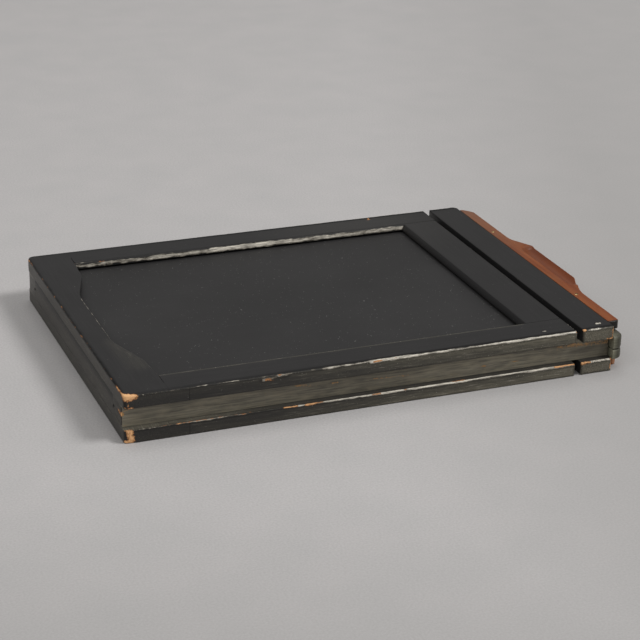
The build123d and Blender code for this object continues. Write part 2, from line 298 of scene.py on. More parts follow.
# %% List the chips and the rubbed patches
chips = [
    # the near left corner
    (spot(0.8, -63.0, 15.8), spot(3.2, -63.3, 16.1), 1.7, 1.2),
    (spot(0.4, -62.3, 16.4), spot(3.1, -62.9, 16.4), 1.0, 1.2),
    (spot(0.1, -62.5, 16.3), spot(0.1, -52.0, 16.4), 0.8, 0.78),
    (spot(1.6, -63.5, 14.4), spot(1.6, -63.5, 12.3), 0.35, 0.95),
    (spot(0.4, -63.1, 12.3), spot(2.9, -63.5, 12.1), 0.5, 0.85),
    (spot(1.9, -63.5, 4.2), spot(2.3, -63.5, 0.9), 1.6, 1.05),
    (spot(0.3, -63.2, 0.6), spot(2.6, -63.5, 0.2), 0.9, 1.2),
    (spot(0.3, -62.9, 4.5), spot(3.1, -63.5, 4.6), 0.5, 0.95),
    # the near edges
    (spot(46.5, -63.5, 15.0), spot(52.5, -63.5, 15.9), 1.1, 0.55),
    (spot(6.0, -63.3, 4.6), spot(42.0, -63.3, 4.6), 0.6, 0.55),
    (spot(83.3, -63.5, 16.1), spot(95.8, -63.4, 16.3), 0.7, 0.56),
    (spot(102.0, -62.5, 16.4), spot(103.6, -62.0, 16.4), 0.6, 0.5),
    (spot(53.0, -63.5, 4.5), spot(57.0, -63.4, 4.6), 0.7, 0.85),
    (spot(60.2, -63.5, 4.4), spot(66.0, -63.4, 4.6), 0.7, 0.85),
    (spot(83.5, -63.5, 4.5), spot(86.0, -63.4, 4.6), 0.6, 0.8),
    (spot(94.7, -63.5, 4.4), spot(95.6, -63.4, 4.6), 0.7, 1.0),
    (spot(112.4, -62.9, 4.6), spot(116.6, -62.9, 4.6), 0.5, 0.7),
    (spot(149.9, -63.4, 4.6), spot(157.1, -63.4, 4.6), 0.8, 0.95),
    # beside the groove and at the near right corner
    (spot(159.7, -63.5, 16.3), spot(160.7, -62.9, 16.4), 0.9, 1.0),
    (spot(159.6, -63.3, 4.3), spot(162.8, -63.4, 4.6), 0.9, 1.0),
    (spot(157.1, -63.4, 16.1), spot(157.1, -61.4, 16.4), 0.6, 0.6),
    (spot(157.1, -63.4, 11.9), spot(155.6, -63.4, 11.9), 0.5, 0.9),
    (spot(171.6, -63.3, 15.6), spot(171.6, -63.3, 12.2), 0.9, 1.1),
    (spot(169.2, -63.5, 12.1), spot(171.3, -63.4, 12.0), 0.6, 0.8),
    (spot(171.6, -63.3, 4.4), spot(171.5, -63.3, 1.2), 0.9, 1.05),
    # the closed end and the far edges
    (spot(0.1, 63.0, 16.2), spot(0.1, 55.2, 16.3), 0.7, 0.62),
    (spot(0.1, 50.0, 16.3), spot(0.1, -50.0, 16.3), 0.5, 0.47),
    (spot(0.8, 63.3, 16.2), spot(1.7, 63.5, 16.3), 0.7, 0.85),
    (spot(14.6, 51.4, 16.3), spot(16.0, 51.4, 16.3), 0.5, 0.62),
    (spot(23.4, 51.4, 16.3), spot(26.0, 51.4, 16.3), 0.7, 0.75),
    (spot(75.0, 63.3, 16.4), spot(76.2, 63.5, 16.4), 0.6, 0.9),
    (spot(80.2, 63.4, 16.3), spot(81.4, 63.4, 16.3), 0.5, 0.8),
    (spot(133.2, 60.4, 16.4), spot(133.6, 61.9, 16.4), 0.7, 1.1),
    (spot(171.6, 63.3, 15.8), spot(171.6, 63.3, 12.7), 0.8, 0.9),
    (spot(31.2, 63.5, 4.5), spot(38.5, 63.5, 4.6), 0.8, 0.9),
    (spot(114.5, 63.5, 12.0), spot(120.8, 63.5, 11.9), 0.8, 0.9),
    (spot(0.1, 63.4, 4.2), spot(0.1, 63.4, 0.4), 1.0, 0.9),
]
# patches stronger than about 1 pale the film to a painted highlight
rubs_and_glints = [
    # the near edges, where the strongest patches are a painted highlight
    (spot(82.2, -63.3, 16.4), spot(96.8, -63.3, 16.4), 1.2, 1.25),
    (spot(157.1, -63.4, 16.4), spot(122.8, -63.4, 16.4), 0.5, 1.4),
    (spot(157.1, -63.3, 4.6), spot(99.9, -63.3, 4.6), 0.5, 1.4),
    (spot(159.8, -63.3, 4.6), spot(170.7, -63.3, 4.6), 0.8, 1.4),
    (spot(163.2, -63.4, 16.4), spot(165.7, -63.4, 16.4), 0.6, 1.5),
    (spot(166.2, -59.5, 16.4), spot(168.2, -59.4, 16.4), 0.5, 1.15),
    (spot(146.4, -59.6, 16.4), spot(147.8, -59.4, 16.4), 0.5, 1.1),
    (spot(46.8, -63.5, 3.0), spot(46.9, -63.5, 1.2), 0.3, 1.4),
    (spot(45.5, -63.5, 15.2), spot(54.0, -63.5, 16.1), 1.3, 0.94),
    (spot(24.0, -63.2, 16.4), spot(27.0, -63.2, 16.4), 0.3, 1.05),
    (spot(30.5, -63.2, 16.4), spot(38.0, -63.2, 16.4), 0.3, 1.05),
    # the far edge of the opening, burnished, with a painted highlight on its rounded rim
    (spot(14.9, 51.1, 15.2), spot(46.0, 51.1, 15.2), 1.5, 0.95),
    (spot(44.0, 51.1, 15.2), spot(144.0, 51.1, 15.2), 1.5, 1.08),
    (spot(66.0, 51.1, 15.6), spot(98.0, 51.1, 15.6), 1.0, 1.3),
    (spot(14.9, 51.6, 16.4), spot(22.9, 51.6, 16.4), 0.7, 0.9),
    # the line of the finger notch
    (spot(8.3, 18.0, 16.4), spot(8.3, -18.0, 16.4), 0.35, 0.84),
    (spot(9.0, -22.5, 16.4), spot(13.8, -37.8, 16.4), 0.4, 0.78),
    (spot(14.7, -45.0, 16.4), spot(14.8, -51.0, 16.4), 0.4, 1.0),
]
core_scuffs = [
    # the near side
    (spot(0.2, -60.4, 9.0), spot(1.7, -60.4, 10.8), 0.8, 1.1),
    (spot(0.2, -60.4, 5.1), spot(2.7, -60.4, 4.8), 0.5, 1.0),
    (spot(18.7, -60.4, 11.3), spot(31.2, -60.4, 11.7), 0.4, 0.7),
    (spot(57.8, -60.4, 10.0), spot(63.4, -60.4, 9.4), 0.7, 0.75),
    (spot(70.0, -60.4, 9.0), spot(72.8, -60.4, 9.2), 0.6, 0.72),
    (spot(85.0, -60.4, 8.5), spot(97.9, -60.4, 7.9), 0.6, 0.62),
    (spot(123.0, -60.4, 6.7), spot(125.9, -60.4, 7.7), 0.7, 0.8),
    (spot(135.2, -60.4, 7.2), spot(138.1, -60.4, 7.5), 0.5, 0.7),
    (spot(151.0, -60.4, 10.3), spot(171.3, -60.4, 9.6), 1.8, 0.62),
    # the far side
    (spot(39.6, 60.4, 8.3), spot(47.9, 60.4, 9.0), 0.9, 0.8),
    (spot(124.9, 60.4, 7.5), spot(136.4, 60.4, 7.1), 0.8, 0.75),
]
print("chips:", len(chips), "rubbed patches:", len(rubs_and_glints), "scuffs on the core:", len(core_scuffs))


# %% Measure distances
def falloff(distance, reach):
    """Fade from 1 to 0 as a distance grows to its reach, with soft ends."""
    share = np.clip(1 - distance / reach, 0, 1)
    return share * share * (3 - 2 * share)


def line_share(points, start, end):
    """Give how far along a straight line each point is, from 0 at its start to 1 at its end."""
    along = np.array(end) - np.array(start)
    return np.clip((points - np.array(start)) @ along / (along @ along), 0, 1)


def line_distance(points, start, end):
    """Give the distance from each point to a straight line between two ends."""
    along = np.array(end) - np.array(start)
    return np.linalg.norm(points - np.array(start) - line_share(points, start, end)[:, None] * along, axis=1)


def places_of(points):
    """Give how far points lie in from the long sides, in from the faces, and along, from 0 to 1."""
    from_side = half_width - np.abs(points[:, 1])
    from_face = np.minimum(points[:, 2], top_z - points[:, 2])
    along = (points[:, 0] - closed_x) / (mouth_x - closed_x)
    return from_side, from_face, along


# %% Measure the rubbed and the bare places, and the painted highlight
edge_reach = 1.6 * mm
edge_patchiness = 0.3
mark_spread = 1.6


def strongest_mark(points, marks):
    """Give how strongly a list of knocks marks each point."""
    amount = np.zeros(len(points))
    for start, end, reach, strength in marks:
        marked = falloff(line_distance(points, start, end), mark_spread * reach * mm)
        amount = np.maximum(amount, marked * strength)
    return amount


def rub_of(points, patchy):
    """Give how burnished each point is, along the edges and in the rubbed patches; above about 1 the amount
    is a painted highlight.
    """
    rub = strongest_mark(points, rubs_and_glints)
    for start, end, start_wear, end_wear in edge_lines:
        line = np.clip(1 - line_distance(points, start, end) / edge_reach, 0, 1)
        wear = start_wear + (end_wear - start_wear) * line_share(points, start, end)
        rub = np.maximum(rub, line * wear * (1 + edge_patchiness * patchy))
    return rub


# %% Measure the places that are worn thin or painted paler
# a point counts as on a face or on a side when it lies no deeper than this
skin = 0.3 * mm
core_setback = half_width - half_core
side_skin = 0.8 * mm
beside_face = 3.0 * mm
ledge_spare = 0.5 * mm
rim_place, rim_width = 0.2 * mm, 0.8 * mm
handled_start, handled_end = spot(9.5, -22.0, 16.4), spot(11.5, -42.0, 16.4)
handled_reach = 6 * mm
# how strongly each place is worn, or painted paler as sheen and light
side_at_end, side_rise, side_sheen_rise = 0.13, 0.12, 1.3
side_middle, side_near_face = 0.7, 0.7
ledge_loss, ledge_fade = 0.8, 2.5
rim_share, handled_share, end_light_share = 0.7, 0.16, 0.3
thin_patchiness = 0.35


def worn_thin_and_painted_light_of(points, patchy):
    """Give the broad wear on the ledges, the near rim and beside the notch, the wear and painted sheen on the
    sides, and the painted light on the end.
    """
    from_side, from_face, along = places_of(points)
    on_face = falloff(from_face, skin)
    # the sides are worn a little, and painted paler towards the pulls as a painted sheen, most beside the
    # faces
    on_side = falloff(from_side, side_skin) * (side_at_end + side_rise * along + side_sheen_rise * along**2)
    on_side = on_side * (side_middle + side_near_face * falloff(from_face, beside_face))
    # the ledges of the channels are worn at the closed end
    from_ledge = np.abs(np.abs(points[:, 2] - middle_z) - (core_top_z - middle_z))
    on_ledge = falloff(from_ledge, skin) * (from_side < core_setback + ledge_spare)
    on_ledge = on_ledge * (1 - ledge_loss * np.clip(ledge_fade * along, 0, 1))
    near_rim = rim_share * falloff(np.abs(points[:, 1] + half_opening + rim_place), rim_width) * on_face
    near_rim = near_rim * (points[:, 0] >= opening_x) * (points[:, 0] <= cross_x)
    handled = falloff(line_distance(points, handled_start, handled_end), handled_reach)
    handled = handled_share * handled * on_face
    # painted light: the closed end is painted paler
    on_end = end_light_share * falloff(points[:, 0] - closed_x, skin)
    strongest = np.maximum.reduce([on_side, on_ledge, near_rim, handled, on_end])
    return strongest * (1 + thin_patchiness * patchy)


# %% Measure the grime and the painted shade
strip_middle = 1.1 * mm
under_face_reach = 1.4 * mm
mouth_reach = 24 * mm
pull_start, pull_fade = 0.3 * mm, 1.6 * mm
end_middle, end_reach, end_depth = 0.3 * mm, 1.3 * mm, 1.0 * mm
# how dark each strip is
rim_at_end, rim_rise = 0.3, 1.2
mouth_darkening, pull_shade = 0.45, 0.9
end_grime, end_shade_lean, end_breaks = 0.6, 0.4, 0.5


def grime_and_shade_of(points, coarse):
    """Give the dark strips: painted shade beside the rims, under the upper face and on the ends of the pulls,
    a darkening towards the mouth, and the broken edge of the closed end.
    """
    from_side, from_face, along = places_of(points)
    # painted shade: a dark strip beside each rim, darker towards the pulls
    beside_rim = np.clip(2 * falloff(np.abs(from_side - strip_middle), strip_middle), 0, 1)
    beside_rim = beside_rim * falloff(from_face, skin) * np.clip(rim_at_end + rim_rise * along, 0, 1)
    set_back = from_side > core_setback - 0.1 * mm
    # painted shade on the core under the upper face
    under_face = falloff(np.abs(points[:, 2] - core_top_z), under_face_reach)
    under_face = under_face * set_back * (points[:, 2] < core_top_z)
    on_core = (np.abs(points[:, 2] - middle_z) < core_top_z - middle_z) * set_back
    # the core darkens towards the mouth
    at_mouth = mouth_darkening * falloff(mouth_x - points[:, 0], mouth_reach) * on_core
    # painted shade on the outer end of each pull
    on_pull_end = pull_shade * np.clip((points[:, 0] - mouth_x - pull_start) / pull_fade, 0, 1)
    # the edge of the closed end is broken up, and a painted shade makes it darkest on the near side
    end_edge = falloff(np.abs(points[:, 0] - closed_x - end_middle), end_reach)
    end_edge = end_edge * falloff(from_face, end_depth)
    lean = end_shade_lean * points[:, 1] / half_width
    end_edge = end_edge * np.clip(end_grime - lean + end_breaks * coarse, 0, 1)
    return np.maximum.reduce([beside_rim, under_face, at_mouth, on_pull_end, end_edge])


# %% Wear a piece
patch_size = 14 * mm
dent_size = 2.2 * mm
rub_press, rub_start = 0.1 * mm, 0.5
chip_press, chip_start = 0.3 * mm, 0.3
# how uneven the pressed places are
rub_even, rub_uneven, rub_shift = 0.4, 0.6, 0.3
chip_shift = 0.6
most_stored = 1.5


def weather(piece, marks=()):
    """Store how worn each point of a piece is, with the painted highlight, light and shade that ride on the
    same amounts, and press its worn points in.
    """
    mesh = piece.data
    points = np.array([point.co for point in mesh.vertices])
    normals = np.array([point.normal for point in mesh.vertices])
    patchy = np.array([noise.noise(Vector(point) / patch_size) for point in points])
    coarse = np.array([noise.noise(Vector(point) / dent_size) for point in points])
    rub = rub_of(points, patchy)
    bare = strongest_mark(points, marks)
    worn_thin_and_painted_light = worn_thin_and_painted_light_of(points, patchy)
    grime_and_shade = grime_and_shade_of(points, coarse)

    dents = rub_even + rub_uneven * np.clip(coarse + rub_shift, 0, 1)
    rub_depth = rub_press * np.clip(rub - rub_start, 0, 1) * dents
    chip_depth = chip_press * np.clip(bare - chip_start, 0, 1) * np.clip(chip_shift + coarse, 0, 1)
    pressed = points - normals * (rub_depth + chip_depth)[:, None]
    moved = np.clip(pressed, points.min(axis=0), points.max(axis=0))
    mesh.vertices.foreach_set("co", moved.astype(np.float32).ravel())
    for name, amount in (("rub", rub), ("bare", bare), ("worn_thin_and_painted_light", worn_thin_and_painted_light), ("grime_and_shade", grime_and_shade)):
        stored = mesh.attributes.new(name, "FLOAT", "POINT")
        stored.data.foreach_set("value", np.clip(amount, 0, most_stored).astype(np.float32))
    mesh.update()


# %% [markdown]
# ## Tools for the materials
#
# Every finish is a small graph of nodes. One function adds a node, sets it and links it, so that a
# material reads from top to bottom like a recipe. Colours are written as the hex values that a paint
# chart would give, and turned to the linear values that the shader expects.

# %% Turn colours to linear and add nodes
def linear(hex_colour):
    """Turn an sRGB hex value into the linear colour that a shader socket takes."""
    parts = [int(hex_colour[place : place + 2], 16) / 255 for place in (1, 3, 5)]
    return [part / 12.92 if part <= 0.04045 else ((part + 0.055) / 1.055) ** 2.4 for part in parts] + [1.0]


def add_node(tree, kind, inputs=(), give=None, **settings):
    """Add a node with its settings, link or set its inputs, and give one of its outputs.

    The inputs are a list in the order that the node shows them, or a dictionary by their names. Each is
    another node's output, a number, a list of numbers or a hex colour.
    """
    node = tree.nodes.new("ShaderNode" + kind)
    for name, value in settings.items():
        setattr(node, name, value)
    if isinstance(inputs, dict):
        pairs = [(node.inputs[name], value) for name, value in inputs.items()]
    else:
        pairs = zip([socket for socket in node.inputs if socket.enabled], inputs)
    for socket, value in pairs:
        if isinstance(value, bpy.types.NodeSocket):
            tree.links.new(value, socket)
        else:
            socket.default_value = linear(value) if isinstance(value, str) else value
    if give:
        return node.outputs[give]
    return next((socket for socket in node.outputs if socket.enabled), None)


# settings that many nodes share
colours = {"data_type": "RGBA"}
multiplied = {"data_type": "RGBA", "blend_type": "MULTIPLY"}
softly = {"interpolation_type": "SMOOTHSTEP"}


def new_material(name, **finish):
    """Make an empty material, and give it with its tree, its shader and its place coordinates."""
    material = bpy.data.materials.new(name)
    material.use_nodes = True
    tree = material.node_tree
    tree.nodes.clear()
    shader = tree.nodes.new("ShaderNodeBsdfPrincipled")
    add_node(tree, "OutputMaterial", [shader.outputs["BSDF"]])
    for name, value in finish.items():
        shader.inputs[name.replace("_", " ")].default_value = value
    place = add_node(tree, "TexCoord", give="Object")
    return material, tree, shader, place


# %% Make patterns of a real size
def per_metre(size):
    """Give the scale of a pattern from the size of its details in millimetres."""
    return 1 / (size * mm)


def speckle(tree, place, size, detail=3.0, roughness=0.5):
    """Give a noise whose details have one size in millimetres, or three where it is stretched."""
    if isinstance(size, (tuple, list)):
        stretch = {"Vector": place, "Scale": [per_metre(length) for length in size]}
        return add_node(tree, "TexNoise", [add_node(tree, "Mapping", stretch), 1.0, detail, roughness])
    return add_node(tree, "TexNoise", [place, per_metre(size), detail, roughness])


def hump(tree, place, centre, reach):
    """Give a value that fades softly from 1 at a centre to 0 at its reach."""
    distance = add_node(tree, "VectorMath", [place, centre], operation="DISTANCE")
    return add_node(tree, "MapRange", [distance, 0.0, reach, 1.0, 0.0], **softly)


# %% [markdown]
# ### Black lacquer on wood
#
# The real finish is a thin satin black lacquer brushed on a light hardwood, with the grain just
# telegraphing through. It is a little darker towards the pulls as a painted shade, and paler where a
# painted sheen lies on the far rail. It is brown and flecked where it is worn thin, paler on the closed
# end as painted light and on the sides towards the pulls as painted sheen, and blackest in a strip
# beside the edges, which is painted shade. Where it is rubbed it turns to a grey, polished film, which
# pales to a painted highlight where the rub is strongest, and where it is chipped the orange-tan wood
# shows, darker at the border of the chip where the stain has soaked in. A hairline also shows where
# the tenon of the end rail stops in each side rail.

# %% Draw the hairlines of the corner joints
tenon_x = closed_x + 21.3 * mm
hairline = 0.1 * mm
side_strip = 0.5 * mm
shoulder_share = 0.6
hairline_share = 0.7


def joint_line(tree, place):
    """Find the hairlines of the corner joints: on the sides at the tenon, on the faces at its shoulder."""
    along = add_node(tree, "SeparateXYZ", [place], give="X")
    across = add_node(tree, "SeparateXYZ", [place], give="Y")
    across = add_node(tree, "Math", [across], operation="ABSOLUTE")
    on_side = add_node(tree, "Math", [across, half_width - side_strip], operation="GREATER_THAN")
    side_line = add_node(tree, "Math", [along, tenon_x, hairline], operation="COMPARE")
    side_line = add_node(tree, "Math", [on_side, side_line], operation="MULTIPLY")
    off_side = add_node(tree, "Math", [1.0, on_side], operation="SUBTRACT")
    off_opening = add_node(tree, "Math", [across, half_opening], operation="GREATER_THAN")
    face_line = add_node(tree, "Math", [along, opening_x, hairline], operation="COMPARE")
    face_line = add_node(tree, "Math", [face_line, off_side], operation="MULTIPLY")
    face_line = add_node(tree, "Math", [face_line, off_opening], operation="MULTIPLY")
    face_line = add_node(tree, "Math", [face_line, shoulder_share], operation="MULTIPLY")
    strongest = add_node(tree, "Math", [side_line, face_line], operation="MAXIMUM")
    return add_node(tree, "Math", [strongest, hairline_share], operation="MULTIPLY")


# %% Lay the black paint
pale_length = 80 * mm
sheen_centre = (35 * mm, half_width - 5 * mm, top_z)
sheen_reach = 50 * mm


def black_paint(tree, place, grain_tone):
    """Lay the black paint as it is where nothing has worn it, with painted shade towards the pulls and a
    painted sheen on the far rail.
    """
    clouds = speckle(tree, place, 16)
    along = add_node(tree, "SeparateXYZ", [place], give="X")
    # painted shade: the paint darkens towards the pulls
    shade_towards_pulls = add_node(tree, "MapRange", [along, 0.0, pale_length, 1.0, 0.86])
    # painted sheen: a pale patch on the far rail
    bloom_and_sheen = hump(tree, place, sheen_centre, sheen_reach)
    bloom_and_sheen = add_node(tree, "Math", [bloom_and_sheen, 0.22], operation="MULTIPLY")
    paint = add_node(tree, "Mix", [clouds, "#2a2929", "#313030"], **colours)
    paint = add_node(tree, "Mix", [1.0, paint, grain_tone], **multiplied)
    paint = add_node(tree, "Mix", [1.0, paint, shade_towards_pulls], **multiplied)
    return add_node(tree, "Mix", [bloom_and_sheen, paint, "#55534f"], **colours)


def darkened_paint(tree, place, paint, rub, worn_thin_and_painted_light, grime_and_shade, brown):
    """Let brown through where the paint is thin or painted paler, darken it beside the edges as painted
    shade, and lay grime, painted shade and dust.
    """
    dust = speckle(tree, place, 0.8, 2.0)
    # brown shows where the paint is worn thin, and where the stored amount paints light on the end and sheen
    # on the sides
    through = add_node(tree, "Math", [worn_thin_and_painted_light, 0.85], operation="MULTIPLY")
    # painted shade: a dark strip beside the rubbed edges
    beside_edge = add_node(tree, "MapRange", [rub, 0.3, 0.6, 0.0, 0.4], **softly)
    # grime and painted shade from the stored amount
    grime_and_shade_share = add_node(tree, "Math", [grime_and_shade, 0.95], operation="MULTIPLY")
    dusty = add_node(tree, "MapRange", [dust, 0.74, 0.77, 0.0, 0.4])
    paint = add_node(tree, "Mix", [through, paint, brown], **colours)
    paint = add_node(tree, "Mix", [beside_edge, paint, "#141312"], **colours)
    paint = add_node(tree, "Mix", [grime_and_shade_share, paint, "#050505"], **colours)
    return add_node(tree, "Mix", [dusty, paint, "#8f8d89"], **colours)


def light_marks(tree, paint, pattern, worn_thin_and_painted_light, most, colour):
    """Scratch or fleck worn paint with a light colour, where a noise lies in a given range."""
    marks = add_node(tree, "MapRange", pattern)
    thin_share = add_node(tree, "Math", [worn_thin_and_painted_light, most], operation="MINIMUM")
    marks = add_node(tree, "Math", [marks, thin_share], operation="MULTIPLY")
    return add_node(tree, "Mix", [marks, paint, colour], **colours)


# %% Make the lacquered wood
film_thickness = 0.08 * mm
grain_relief = 0.06 * mm


def lacquered_wood(name, grain_scale):
    """Black lacquer on wood, with the grain stretched as the given sizes in millimetres say."""
    material, tree, shader, place = new_material(name, Specular_IOR_Level=0.2)
    grain = speckle(tree, place, grain_scale, 5.0, 0.6)
    flakes = speckle(tree, place, [max(length / 6, 0.9) for length in grain_scale], 5.0, 0.6)
    streaks = speckle(tree, place, [max(length / 3, 0.35) for length in grain_scale], 4.0, 0.65)
    specks = speckle(tree, place, 0.5, 3.0, 0.6)
    rub = add_node(tree, "Attribute", give="Fac", attribute_name="rub")
    bare = add_node(tree, "Attribute", give="Fac", attribute_name="bare")
    worn_thin_and_painted_light = add_node(tree, "Attribute", give="Fac", attribute_name="worn_thin_and_painted_light")
    grime_and_shade = add_node(tree, "Attribute", give="Fac", attribute_name="grime_and_shade")

    grain_tone = add_node(tree, "MapRange", [grain, 0.35, 0.7, 0.88, 1.12])
    streaked = add_node(tree, "MapRange", [streaks, 0.35, 0.65])
    speckled = add_node(tree, "MapRange", [specks, 0.55, 0.7, 0.0, 0.3])
    brown = add_node(tree, "Mix", [streaked, "#545148", "#7a7567"], **colours)
    brown = add_node(tree, "Mix", [speckled, brown, "#8d8778"], **colours)
    paint = black_paint(tree, place, grain_tone)
    paint = darkened_paint(tree, place, paint, rub, worn_thin_and_painted_light, grime_and_shade, brown)
    paint = light_marks(tree, paint, (streaks, 0.62, 0.7), worn_thin_and_painted_light, 0.7, "#9a958a")
    paint = light_marks(tree, paint, (specks, 0.64, 0.7), worn_thin_and_painted_light, 0.8, "#bcb7ab")
    paint = add_node(tree, "Mix", [joint_line(tree, place), paint, "#0d0c0c"], **colours)

    flake_share = add_node(tree, "MapRange", [flakes, 0.3, 0.7])
    rub_sum = add_node(tree, "Math", [flake_share, 0.4, rub], operation="MULTIPLY_ADD")
    rub_mask = add_node(tree, "MapRange", [rub_sum, 0.92, 1.1], **softly)
    # above a rub of about 1 the film pales towards near white, a painted highlight
    rub_and_glint_tone = add_node(tree, "MapRange", [rub_sum, 1.0, 1.35])
    film_streaks = add_node(tree, "MapRange", [streaks, 0.38, 0.58, 0.7, 0.0])
    film_and_glint = add_node(tree, "Mix", [rub_and_glint_tone, "#6b6459", "#f3ecdd"], **colours)
    film_and_glint = add_node(tree, "Mix", [film_streaks, film_and_glint, "#4a463f"], **colours)
    coat = add_node(tree, "Mix", [rub_mask, paint, film_and_glint], **colours)

    bare_sum = add_node(tree, "Math", [flake_share, 0.7, bare], operation="MULTIPLY_ADD")
    bare_mask = add_node(tree, "MapRange", [bare_sum, 0.9, 1.0], **softly)
    bare_tone = add_node(tree, "MapRange", [bare_sum, 0.95, 1.35])
    wood = add_node(tree, "Mix", [bare_tone, "#8a5630", "#f2bd88"], **colours)
    wood = add_node(tree, "Mix", [0.5, wood, grain_tone], **multiplied)
    colour = add_node(tree, "Mix", [bare_mask, coat, wood], **colours)
    tree.links.new(colour, shader.inputs["Base Color"])

    satin = add_node(tree, "MapRange", [rub_mask, 0.0, 1.0, 0.42, 0.24])
    matt = add_node(tree, "MapRange", [bare_mask, 0.0, 1.0, 0.0, 0.7])
    rough = add_node(tree, "Math", [satin, matt], operation="MAXIMUM")
    tree.links.new(rough, shader.inputs["Roughness"])
    film_height = add_node(tree, "Math", [1.0, bare_mask], operation="SUBTRACT")
    film_inputs = {"Height": film_height, "Strength": 0.6, "Distance": film_thickness}
    film_bump = add_node(tree, "Bump", film_inputs)
    grain_inputs = {"Height": grain, "Strength": 0.25, "Distance": grain_relief, "Normal": film_bump}
    tree.links.new(add_node(tree, "Bump", grain_inputs), shader.inputs["Normal"])
    return material


lacquer_along = lacquered_wood("black_lacquer_grain_along", (18, 0.5, 0.5))
lacquer_across = lacquered_wood("black_lacquer_grain_across", (0.5, 18, 0.5))
print("materials so far:", [material.name for material in (lacquer_along, lacquer_across)])

# %% [markdown]
# ### Rubbed core wood
#
# The core stands back between the faces, so the guides of the camera rub it. Its thin stain has turned
# to a dull olive brown, with grime in streaks and ochre specks where the wood is open. Rubbing keeps it
# at a low gloss, like the faces. On the near side, a stretch right of the middle is paler with a painted
# sheen, and one left of the middle is darker with a painted shade. Painted shade also darkens it under
# the upper face, it darkens towards the mouth, and painted shade darkens the outer ends of the backings.
# With other colours, the same recipe makes the matt wood inside and the stained wood of the backings.

# %% Make the rubbed core wood
# a painted shade and a painted sheen on the near side of the core
core_shade_centre, core_shade_reach = (-12 * mm, -half_core, middle_z), 45 * mm
core_sheen_centre, core_sheen_reach = (35 * mm, -half_core, middle_z), 34 * mm


def rubbed_wood(name, dark, light, patina, roughness):
    """Thin worn stain on wood, with streaks along X, a painted shade and a painted sheen on the near side,
    and grime and painted shade from the stored amount.
    """
    material, tree, shader, place = new_material(name, Roughness=roughness, Specular_IOR_Level=0.3)
    streaks = speckle(tree, place, (9, 0.6, 0.45), 5.0, 0.6)
    blotches = speckle(tree, place, (6, 3, 2.2), 4.0)
    specks = speckle(tree, place, 0.6, 4.0, 0.7)
    bare = add_node(tree, "Attribute", give="Fac", attribute_name="bare")
    grime_and_shade = add_node(tree, "Attribute", give="Fac", attribute_name="grime_and_shade")

    streaked = add_node(tree, "MapRange", [streaks, 0.35, 0.68])
    blotched = add_node(tree, "MapRange", [blotches, 0.45, 0.75, 0.0, 0.55])
    speckled = add_node(tree, "MapRange", [specks, 0.64, 0.74, 0.0, 0.6])
    stain = add_node(tree, "Mix", [streaked, dark, light], **colours)
    stain = add_node(tree, "Mix", [blotched, stain, patina], **colours)
    stain = add_node(tree, "Mix", [speckled, stain, "#9a8560"], **colours)

    # painted shade left of the middle and painted sheen right of it, on the near side
    core_shade = hump(tree, place, core_shade_centre, core_shade_reach)
    pale = hump(tree, place, core_sheen_centre, core_sheen_reach)
    tone = add_node(tree, "Math", [core_shade, -0.14, 1.0], operation="MULTIPLY_ADD")
    tone = add_node(tree, "Math", [pale, 0.24, tone], operation="MULTIPLY_ADD")
    stain = add_node(tree, "Mix", [1.0, stain, tone], **multiplied)
    # grime and painted shade from the stored amount
    grime_and_shade_share = add_node(tree, "Math", [grime_and_shade, 0.8], operation="MULTIPLY")
    stain = add_node(tree, "Mix", [grime_and_shade_share, stain, "#1f1d19"], **colours)

    bare_sum = add_node(tree, "Math", [specks, 0.9, bare], operation="MULTIPLY_ADD")
    worn = add_node(tree, "MapRange", [bare_sum, 0.95, 1.15], **softly)
    tree.links.new(add_node(tree, "Mix", [worn, stain, "#ba8f5e"], **colours), shader.inputs["Base Color"])
    bump_inputs = {"Height": streaks, "Strength": 0.5, "Distance": 0.1 * mm}
    tree.links.new(add_node(tree, "Bump", bump_inputs), shader.inputs["Normal"])
    return material


core_wood = rubbed_wood("rubbed_core_wood", "#68645a", "#96907f", "#a59c86", 0.42)
inner_wood = rubbed_wood("matt_black_wood", "#191817", "#262422", "#2c2a27", 0.8)
backing_wood = rubbed_wood("stained_backing_wood", "#6c6a59", "#8e8d7c", "#989480", 0.5)
print("materials so far:", [material.name for material in (core_wood, inner_wood, backing_wood)])

# %% [markdown]
# ### Sheath board
#
# The slides are thin sheets of black pressed board, as vulcanised fibre is made: even and matt, a
# shade darker than the lacquer. Years of sliding have left fine scratches along the holder, a faint
# cloudy bloom and grains of dust.

# %% Make the sheath board
def sheath_board():
    """Matt black pressed board with scratches along X, bloom and dust."""
    material, tree, shader, place = new_material("black_pressed_board", Specular_IOR_Level=0.4)
    bloom_and_sheen = speckle(tree, place, 28, 4.0)
    scratches = speckle(tree, place, (30, 0.22, 0.22), 3.0, 0.7)
    dust = speckle(tree, place, 0.6, 1.0)
    bloomed = add_node(tree, "MapRange", [bloom_and_sheen, 0.3, 0.7])
    scratched = add_node(tree, "MapRange", [scratches, 0.64, 0.72, 0.0, 0.22])
    dusty = add_node(tree, "MapRange", [dust, 0.75, 0.78, 0.0, 0.5])
    board = add_node(tree, "Mix", [bloomed, "#242323", "#2d2c2c"], **colours)
    board = add_node(tree, "Mix", [scratched, board, "#5d5c5b"], **colours)
    board = add_node(tree, "Mix", [dusty, board, "#a8a7a4"], **colours)
    tree.links.new(board, shader.inputs["Base Color"])
    tree.links.new(add_node(tree, "MapRange", [bloom_and_sheen, 0.3, 0.7, 0.5, 0.58]), shader.inputs["Roughness"])
    bump_inputs = {"Height": scratches, "Strength": 0.15, "Distance": 0.03 * mm}
    tree.links.new(add_node(tree, "Bump", bump_inputs), shader.inputs["Normal"])
    return material


fibre_board = sheath_board()
print("materials so far:", fibre_board.name)

